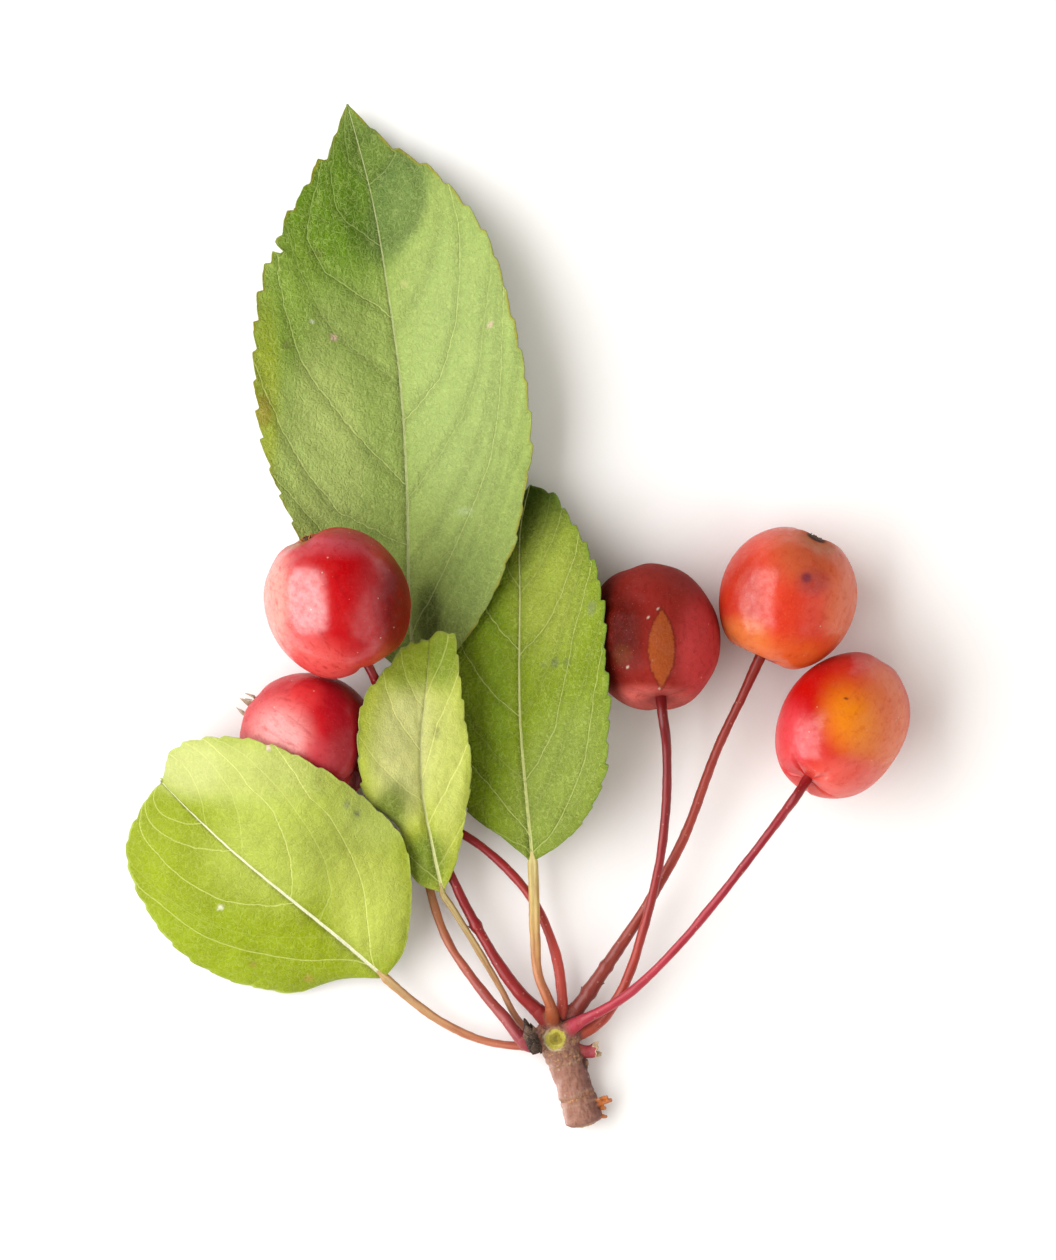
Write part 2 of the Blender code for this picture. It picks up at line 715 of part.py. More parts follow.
def collar_mesh(name):
    """The swollen foot of a stalk, which belongs to the crown."""
    path = stalk_path(name)
    shares = np.linspace(0, COLLAR_LENGTH / path.length, 4)
    bm = bmesh.new()
    radius_at = lambda s: stalk_radius(name, s, path.length) * COLLAR_SWELL
    loft(bm, tube_rings(path, radius_at, shares, STALK_SIDES))
    return bm


def fused(base, extras):
    """Joins mesh objects into the first one with one Boolean union, and removes the others."""
    group = bpy.data.collections.new("spur_parts")
    bpy.context.scene.collection.children.link(group)
    for extra in extras:
        bpy.context.collection.objects.unlink(extra)
        group.objects.link(extra)
    union = base.modifiers.new("union", "BOOLEAN")
    union.operation = "UNION"
    union.operand_type = "COLLECTION"
    union.collection = group
    bpy.context.view_layer.update()
    result = bpy.data.meshes.new_from_object(base.evaluated_get(bpy.context.evaluated_depsgraph_get()))
    base.modifiers.clear()
    for extra in extras:
        bpy.data.objects.remove(extra, do_unlink=True)
    bpy.data.collections.remove(group)
    return result


def build_spur(root):
    """Twig, crown, collars, scar and splinters as one piece of wood."""
    wood = plain_material("spur", BARK, 0.8)
    pieces = [crown_mesh(), scar_mesh(), *(sliver_mesh(*s) for s in SLIVERS), *map(collar_mesh, STALKS)]
    base = add_object("twig", twig_mesh(), wood, Vector())
    extras = [add_object(f"spur_piece_{i}", piece, wood, Vector()) for i, piece in enumerate(pieces)]
    mesh = fused(base, extras)
    bpy.data.objects.remove(base, do_unlink=True)
    bm = bmesh.new()
    bm.from_mesh(mesh)
    bmesh.ops.scale(bm, verts=bm.verts, vec=(1 / MM, 1 / MM, 1 / MM))
    bmesh.ops.translate(bm, verts=bm.verts, vec=-SHIFT)
    cut_flat_at_table(bm)
    add_object("spur", bm, wood, CROWN_CENTRE, root)


def build_bud(root):
    """A dry bud of overlapping scales: each one is wider at its top than the next at its foot."""
    path = Path([BUD_FOOT, (BUD_FOOT + BUD_TIP) / 2, BUD_TIP])
    shares, radii = [], []
    for i in range(BUD_SCALES):
        for part, out in ((0.0, 0.0), (BUD_SCALE_LAP, BUD_SCALE_STEP)):
            share = (i + part) / BUD_SCALES
            shares.append(share)
            radii.append(BUD_RADIUS * math.sqrt(1 - share**2) + out)
    shares.append(1.0)
    radii.append(BUD_TIP_RADIUS)
    bm = bmesh.new()
    loft(bm, tube_rings(path, lambda s: float(np.interp(s, shares, radii)), shares, BUD_SIDES))
    add_object("dead_bud", bm, plain_material("dead_bud", DEAD_WOOD, 0.9), BUD_FOOT, root)


def build_stub(root):
    """A broken stalk with a hollow end."""
    path = Path(STUB_POINTS)
    rings = tube_rings(path, lambda s: float(np.interp(s, STUB_SHARES, STUB_RADII)), STUB_SHARES, STUB_SIDES)
    floor = 1 - STUB_HOLLOW_DEPTH / path.length
    rings += tube_rings(path, lambda s: STUB_HOLLOW_RADIUS * s, (1, floor), STUB_SIDES)
    bm = bmesh.new()
    loft(bm, rings)
    add_object("stalk_stub", bm, plain_material("stalk_stub", RED_STALK, 0.6), path.at(0), root)


def build_sprig():
    clear_scene()
    root = bpy.data.objects.new("crabapple_sprig", None)
    bpy.context.collection.objects.link(root)
    build_spur(root)
    build_bud(root)
    build_stub(root)
    for name, leaf in LEAVES.items():
        build_leaf(name, leaf, root)
    for name in STALKS:
        build_stalk(name, root)
    for name, fruit in FRUITS.items():
        build_fruit(name, fruit, root)
        build_calyx(name.replace("fruit", "calyx"), fruit, SEPAL_LENGTHS[name], root)


build_sprig()
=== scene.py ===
"""Looks of the crabapple sprig: toothed leaves, glossy fruits, thin stalks and a barked spur.

Lengths in the tables and shapes are in millimetres, and become metres where a mesh is made. The tables of
points are the ones that the solids are made from. Colours are written as the eye reads them, from 0 to 255.
"""

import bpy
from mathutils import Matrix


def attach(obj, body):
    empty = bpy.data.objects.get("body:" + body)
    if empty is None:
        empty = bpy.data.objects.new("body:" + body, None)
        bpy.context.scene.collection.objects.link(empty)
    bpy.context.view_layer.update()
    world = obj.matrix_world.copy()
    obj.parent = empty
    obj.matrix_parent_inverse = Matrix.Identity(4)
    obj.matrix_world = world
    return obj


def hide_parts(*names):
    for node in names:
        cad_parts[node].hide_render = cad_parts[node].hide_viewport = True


bl_info = {
    "name": "Crabapple sprig",
    "version": (1, 0, 0),
    "blender": (4, 5, 0),
    "location": "View3D > Sidebar > Sprig",
    "description": "Builds the leaves, fruits, stalks and spur of a crabapple sprig, and its table",
    "category": "Object",
}

import math
from functools import partial, reduce

import bpy
import numpy as np
from bpy.props import FloatProperty, FloatVectorProperty, PointerProperty
from bpy.types import Operator, Panel, PropertyGroup
from mathutils import Vector

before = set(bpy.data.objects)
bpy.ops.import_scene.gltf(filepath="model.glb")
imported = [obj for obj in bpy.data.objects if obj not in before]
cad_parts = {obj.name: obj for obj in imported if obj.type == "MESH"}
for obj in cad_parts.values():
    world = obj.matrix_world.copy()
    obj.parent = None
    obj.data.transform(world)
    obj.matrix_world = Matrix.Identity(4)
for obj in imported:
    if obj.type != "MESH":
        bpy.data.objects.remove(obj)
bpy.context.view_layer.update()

MM = 0.001
TAU = math.tau
SHIFT = np.array((0.2, 1.1, 0.0))
UP = np.array((0.0, 0.0, 1.0))

# Leaf blades: a midrib from the base to the tip, and the two margins between the same ends.
TIP_HALF_WIDTH = 0.35
TOOTH_PEAK = 0.78
TOOTH_SIZES = (0.55, 1.3)
TOOTH_LEAN = 0.55
SMALL_TOOTH_SHARE = 0.28
SMALL_TOOTH_SIZES = (0.1, 1.0)
TEETH_GROW_BY = 1 / 6
TEETH_SHRINK_OVER = 1 / 12
RIPPLE_WAVES = 4
RIGHT_VEINS_FROM = 40
LOWEST_POINT = 0.03
THINNEST_BLADE = 0.1

LEAVES = {
    "leaf_top": {
        "midrib": [
            (-15.4, -9.7, 3.2), (-16.3, 2.3, 1.8), (-16.6, 17.3, 0.9), (-17.6, 34.6, 0.8),
            (-19.4, 48.1, 0.9), (-21.8, 62.3, 1.6), (-25.6, 76.9, 3.4),
        ],
        "left": [
            (-21.8, -4.9, 3.2), (-28.9, 3.5, 3.5), (-34.1, 14.3, 4.7), (-37.9, 24.1, 5.6),
            (-39.5, 34.6, 6.2), (-39.2, 45.1, 6.4), (-36.8, 54.8, 6.2), (-32.3, 63.8, 5.4),
            (-28.1, 70.6, 4.2),
        ],
        "right": [
            (-10.1, -6.2, 5), (-4.1, 1.9, 8), (0.1, 12.8, 10.5), (2, 24.8, 11.8),
            (1.4, 35.3, 12), (-0.8, 45.1, 11.4), (-3.7, 55.1, 9.6), (-7.9, 61.9, 7.4),
            (-13.4, 67.3, 5.2), (-19.9, 71.3, 3.6),
        ],
        "teeth": 22, "sweep": 0.5, "cup": (1.5, 1.3), "arch": (0.0, 0.0), "ripple": 0.35,
    },
    "leaf_middle": {
        "midrib": [
            (2.3, -37, 5.4), (1.4, -27.7, 6), (0.4, -14.9, 6.6), (0.4, 2.3, 6.4), (0.5, 12.8, 5),
            (1.9, 19.6, 3.2),
        ],
        "left": [
            (-2.6, -33.2, 4.6), (-7.6, -29.5, 3.8), (-10.3, -20.2, 3.4), (-10.6, -9.7, 3.2),
            (-8.9, 0.8, 3), (-4.9, 9.8, 2.8),
        ],
        "right": [
            (6.4, -34.4, 7.4), (10.4, -30.4, 10.2), (13.1, -23.9, 14), (13.7, -14.9, 17.4),
            (13.1, -4.4, 18.2), (12.4, 3.8, 16.2), (8.8, 13.1, 9.8), (4.9, 18.4, 5.4),
        ],
        "teeth": 20, "sweep": 0.5, "cup": (1.1, 1.1), "arch": (0.2, 0.0), "ripple": 0.2,
    },
    "leaf_small": {
        "midrib": [
            (-11.2, -41.6, 7.4), (-12.8, -34.4, 9.8), (-14.2, -26.9, 11), (-14.5, -18.7, 12),
            (-13.6, -10.4, 12), (-13.1, -3.7, 10.6),
        ],
        "left": [
            (-15.4, -39.7, 7.9), (-18.1, -31.9, 10), (-22.7, -26.9, 14.6), (-23.9, -19.4, 18.3),
            (-23.3, -13.4, 17.4), (-21.8, -10.6, 15.7), (-19.1, -7.3, 13.4), (-16, -4, 11.8),
        ],
        "right": [
            (-9.1, -37, 9), (-7.6, -29.2, 10.4), (-6.8, -22.4, 11.6), (-8, -14.5, 12.2),
            (-8.8, -7.4, 12), (-9.7, -3.1, 11), (-11.9, -2.5, 10.6),
        ],
        "teeth": 13, "sweep": 0.4, "cup": (1.0, 1.2), "arch": (0.6, 0.2), "ripple": 0.25,
    },
    "leaf_left": {
        "midrib": [
            (-19.9, -54.4, 4.8), (-27.4, -47.9, 7.4), (-35.6, -41.2, 9.4), (-43.1, -34.9, 9.8),
            (-48.8, -29.6, 8), (-53.6, -24.8, 4.4),
        ],
        "left": [
            (-25.9, -54.5, 3.6), (-33.4, -56.6, 2.2), (-41.6, -55.4, 1.4), (-50.3, -51.1, 1.2),
            (-56.3, -43.4, 1.6), (-58.9, -35.2, 2.6), (-56.9, -29.5, 3.6),
        ],
        "right": [
            (-17, -50.2, 7), (-15.8, -41.2, 9.8), (-17, -33.7, 11.6), (-21.4, -28.6, 15),
            (-27.4, -23.9, 19.9), (-33.4, -20.8, 21.4), (-40.1, -18.5, 18.8), (-46.9, -18.4, 13.4),
            (-52.1, -20.6, 8.2),
        ],
        "teeth": 18, "sweep": 0.3, "cup": (1.0, 1.0), "arch": (1.2, 1.0), "ripple": 0.25,
    },
}

# Side veins of each blade, left side then right: how clear each is, and the points that it runs through, as
# the share of the blade's length and the share of the way from the midrib to the margin.
VEINS = {
    "leaf_top": ([
        (0.6, ((0.05, 0), (0.1, 0.5), (0.2, 0.9))),
        (0.8, ((0.18, 0), (0.23, 0.5), (0.36, 0.9))),
        (1, ((0.32, 0), (0.344, 0.4), (0.356, 0.55), (0.412, 0.71), (0.472, 0.84), (0.504, 0.89))),
        (1, ((0.445, 0), (0.484, 0.2), (0.54, 0.45), (0.6, 0.68), (0.676, 0.82), (0.716, 0.9))),
        (0.6, ((0.635, 0), (0.648, 0.17), (0.668, 0.45), (0.69, 0.56), (0.75, 0.82))),
        (1, ((0.744, 0), (0.756, 0.57), (0.788, 0.79), (0.844, 0.86))),
        (0.9, ((0.842, 0), (0.844, 0.4), (0.856, 0.59), (0.896, 0.79))),
        (0.7, ((0.922, 0), (0.928, 0.5), (0.964, 0.72))),
    ], [
        (1, ((0.112, 0), (0.188, 0.24), (0.312, 0.48), (0.416, 0.68), (0.52, 0.8), (0.572, 0.88))),
        (0.4, ((0.27, 0), (0.33, 0.24), (0.42, 0.5), (0.49, 0.7), (0.55, 0.8), (0.595, 0.88))),
        (0.7, ((0.416, 0), (0.46, 0.24), (0.5, 0.46), (0.548, 0.64), (0.604, 0.76), (0.65, 0.88))),
        (1, ((0.568, 0), (0.588, 0.35), (0.644, 0.54), (0.708, 0.69), (0.772, 0.88))),
        (0.4, ((0.72, 0), (0.73, 0.3), (0.75, 0.5), (0.78, 0.7), (0.81, 0.85))),
        (0.45, ((0.848, 0), (0.836, 0.15), (0.824, 0.3), (0.812, 0.5), (0.818, 0.69), (0.846, 0.8))),
        (0.8, ((0.918, 0), (0.912, 0.25), (0.904, 0.53), (0.9, 0.84))),
    ]),
    "leaf_middle": ([
        (0.8, ((-0.02, 0), (0.056, 0.31), (0.08, 0.76), (0.112, 0.9))),
        (1, ((0.09, 0), (0.124, 0.09), (0.18, 0.26), (0.232, 0.39), (0.276, 0.52), (0.312, 0.68),
             (0.34, 0.85))),
        (0.6, ((0.3, 0), (0.33, 0.2), (0.38, 0.45), (0.43, 0.7), (0.46, 0.88))),
        (1, ((0.5, 0), (0.52, 0.27), (0.544, 0.49), (0.572, 0.68), (0.596, 0.88))),
        (1, ((0.68, 0), (0.688, 0.22), (0.708, 0.56), (0.75, 0.85))),
        (0.8, ((0.82, 0), (0.83, 0.3), (0.86, 0.7), (0.89, 0.88))),
    ], [
        (1, ((0.02, 0), (0.088, 0.48), (0.216, 0.6), (0.324, 0.73), (0.424, 0.81), (0.472, 0.85))),
        (0.5, ((0.16, 0), (0.25, 0.24), (0.36, 0.46), (0.46, 0.64), (0.53, 0.8))),
        (1, ((0.295, 0), (0.348, 0.18), (0.428, 0.4), (0.472, 0.45), (0.552, 0.56), (0.628, 0.66),
             (0.68, 0.8))),
        (0.5, ((0.5, 0), (0.54, 0.2), (0.6, 0.4), (0.66, 0.55), (0.72, 0.75))),
        (1, ((0.668, 0), (0.676, 0.21), (0.692, 0.39), (0.73, 0.6), (0.78, 0.82))),
        (0.7, ((0.81, 0), (0.82, 0.3), (0.85, 0.6), (0.88, 0.85))),
    ]),
    "leaf_small": ([
        (0.9, ((0.06, 0), (0.076, 0.12), (0.12, 0.36), (0.164, 0.79))),
        (0.5, ((0.26, 0), (0.29, 0.3), (0.34, 0.7), (0.37, 0.88))),
        (0.8, ((0.46, 0), (0.49, 0.3), (0.54, 0.65), (0.58, 0.88))),
        (1, ((0.664, 0), (0.688, 0.16), (0.728, 0.49), (0.756, 0.64), (0.79, 0.85))),
        (0.9, ((0.815, 0), (0.82, 0.2), (0.848, 0.5), (0.88, 0.8))),
    ], [
        (0.8, ((0.14, 0), (0.17, 0.3), (0.22, 0.7), (0.25, 0.88))),
        (1, ((0.36, 0), (0.396, 0.2), (0.444, 0.44), (0.468, 0.55), (0.52, 0.85))),
        (1, ((0.555, 0), (0.6, 0.14), (0.664, 0.31), (0.696, 0.39), (0.74, 0.7))),
        (0.6, ((0.7, 0), (0.735, 0.2), (0.77, 0.4), (0.81, 0.75))),
        (1, ((0.836, 0), (0.868, 0.18), (0.884, 0.45), (0.91, 0.8))),
    ]),
    "leaf_left": ([
        (1, ((0.06, 0), (0.14, 0.16), (0.284, 0.47), (0.412, 0.62), (0.532, 0.75), (0.652, 0.86))),
        (0.5, ((0.25, 0), (0.34, 0.22), (0.45, 0.47), (0.56, 0.64), (0.7, 0.84))),
        (1, ((0.46, 0), (0.5, 0.16), (0.58, 0.39), (0.68, 0.54), (0.784, 0.66), (0.836, 0.78))),
        (0.9, ((0.722, 0), (0.74, 0.12), (0.784, 0.35), (0.812, 0.46), (0.87, 0.7))),
        (0.9, ((0.836, 0), (0.844, 0.19), (0.884, 0.47), (0.92, 0.64))),
    ], [
        (1, ((0.04, 0), (0.168, 0.26), (0.288, 0.44), (0.396, 0.6), (0.5, 0.73), (0.552, 0.76),
             (0.6, 0.88))),
        (0.4, ((0.2, 0), (0.29, 0.21), (0.4, 0.4), (0.49, 0.57), (0.58, 0.72))),
        (0.7, ((0.35, 0), (0.376, 0.26), (0.44, 0.42), (0.54, 0.57), (0.63, 0.72))),
        (1, ((0.48, 0), (0.524, 0.23), (0.576, 0.39), (0.628, 0.54), (0.692, 0.61), (0.76, 0.8))),
        (0.7, ((0.68, 0), (0.7, 0.25), (0.74, 0.5), (0.82, 0.8))),
        (0.8, ((0.82, 0), (0.835, 0.3), (0.87, 0.6), (0.91, 0.85))),
    ]),
}

# How each blade is drawn. rows and columns are those of its mesh. teeth_out says how far the teeth stand
# out on the left and on the right, and relief how high the skin puffs up between the veins. net says how
# clear the smallest veins are, and clear lists places where they differ: the middle, the reach each way and
# the clearness. bites are nicks in the margin: the side, a point near it in plan, half its width and its
# depth. rib_share says how much the midrib's colour covers it, flank how much painted shade darkens the
# skin beside a side vein, and grit how strongly it is grained, which also sets the painted shade in the
# grain's hollows.
LEAF_LOOKS = {
    "leaf_top": {
        "rows": 300, "columns": 91, "teeth_out": (0.62, 0.42), "relief": 0.3, "slot": "leaf",
        "colour": (156, 178, 90), "vein": (206, 222, 142), "rib": (204, 214, 148),
        "margin": (160, 150, 40), "under": (160, 182, 140),
        "net": 0.42, "rib_share": 0.75, "flank": -0.16, "grit": 1.05,
        "clear": [(-30.1, 63.8, 7, 13, 0.8), (-35.0, 46.0, 5, 12, 0.6)],
        "bites": [(0, (-35.4, 54.6), 0.42, 1.5), (0, (-33.2, 60.2), 0.3, 0.5)],
    },
    "leaf_middle": {
        "rows": 200, "columns": 71, "teeth_out": (0.6, 0.5), "relief": 0.26, "slot": "leaf",
        "colour": (126, 148, 2), "vein": (222, 234, 150), "rib": (214, 220, 140),
        "margin": (120, 150, 50), "under": (165, 190, 120),
        "net": 0.42, "rib_share": 0.95, "flank": -0.14, "grit": 1.2,
        "clear": [(3.4, 16.6, 5, 6, 0.15), (-4.4, -12.7, 4, 20, 0.3)],
        "bites": [],
    },
    "leaf_small": {
        "rows": 150, "columns": 61, "teeth_out": (0.4, 0.35), "relief": 0.24, "slot": "young_leaf",
        "colour": (184, 198, 56), "vein": (224, 232, 150), "rib": (232, 236, 166),
        "margin": (160, 175, 90), "under": (185, 200, 140),
        "net": 0.42, "rib_share": 0.85, "flank": -0.06, "grit": 0.4,
        "bites": [(0, (-13.1, -3.4), 0.6, 0.8)],
    },
    "leaf_left": {
        "rows": 200, "columns": 91, "teeth_out": (0.3, 0.28), "relief": 0.24, "slot": "young_leaf",
        "colour": (144, 160, 0), "vein": (228, 236, 156), "rib": (250, 250, 214),
        "margin": (190, 205, 100), "under": (190, 205, 130),
        "net": 0.3, "rib_share": 0.95, "flank": 0.0, "grit": 0.6,
        "bites": [(0, (-53.4, -24.6), 0.9, 0.8)],
    },
}

# Fruits: the centre, the way the stalk leaves as a turn in plan and a rise, and the half sizes.
STALK_PIT_DEPTH = 1.7
STALK_PIT_WIDTH = 0.34
EYE_DEPTH = 0.8
EYE_WIDTH = 0.26
FRUIT_FULLNESS = 0.95

FRUITS = {
    "fruit_1": {"centre": (-26.9, 1.9, 15.8), "turn": -64, "rise": -8, "radius": 10.8, "half": 11.4},
    "fruit_2": {"centre": (-31.1, -18.7, 10.1), "turn": -29, "rise": 20, "radius": 10.0, "half": 10.5},
    "fruit_3": {"centre": (20.3, -3.4, 9.9), "turn": -83, "rise": 24, "radius": 10.0, "half": 11.4},
    "fruit_4": {"centre": (40.5, 2.6, 9.9), "turn": -115, "rise": 0, "radius": 10.0, "half": 10.6},
    "fruit_5": {"centre": (48.6, -16.6, 11.2), "turn": -124, "rise": 24, "radius": 9.4, "half": 11.9},
}

# How each fruit is painted: its main colour, the deeper and paler ones that streak it, how many creases run
# out of the stalk's pit, and how strong its streaks, its wax and its skin's own shine are. dull lists soft
# spots with less wax: the middle, the half sizes, the turn and how much less. scars are patches of cork:
# the middle and the half sizes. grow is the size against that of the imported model.
FRUIT_LOOKS = {
    "fruit_1": {
        "colour": (204, 14, 28), "deep": (168, 2, 18), "pale": (226, 60, 50),
        "creases": 3, "streaks": 0.5, "wax": 1.0, "shine": 0.05,
        "dull": [
            (-25.5, 11.4, 9, 3.6, 0, 0.8), (-17.4, 2.0, 3.4, 10, 0, 0.85), (-24, -9, 7, 3, 0, 0.6),
            (-25.6, 5.4, 3.4, 5.0, 0, 0.9), (-26.8, -2.4, 1.6, 5, 0, 0.7),
        ],
    },
    "fruit_2": {
        "colour": (206, 22, 34), "deep": (160, 6, 22), "pale": (226, 70, 66),
        "creases": 4, "streaks": 0.4, "wax": 0.34, "shine": 0.05,
        "dull": [(-30.0, -15.2, 4.5, 3, -10, 0.8)],
    },
    "fruit_3": {
        "colour": (156, 46, 38), "deep": (112, 14, 12), "pale": (184, 60, 56),
        "creases": 3, "streaks": 0.3, "wax": 0.03, "shine": 0.02,
        "scars": [(21.5, -4.9, 2.2, 6.3)],
    },
    "fruit_4": {
        "colour": (234, 64, 32), "deep": (190, 34, 20), "pale": (232, 110, 60),
        "creases": 4, "streaks": 0.22, "wax": 0.5, "shine": 0.04, "grow": 1.025,
        "dull": [(44.8, 11.8, 2.6, 1.4, -25, 1.0)],
    },
    "fruit_5": {
        "colour": (222, 44, 30), "deep": (196, 8, 14), "pale": (236, 84, 44),
        "creases": 5, "streaks": 0.22, "wax": 0.5, "shine": 0.04,
        "dull": [(42.7, -12.5, 2.8, 3.2, 0, 0.85)],
    },
}

# Single pale dots on the darkest fruit, in plan.
PALE_DOTS = ((20.9, 1.0), (19.6, -0.2), (20.2, -6.7), (16.4, -7.7), (21.2, -10.9))
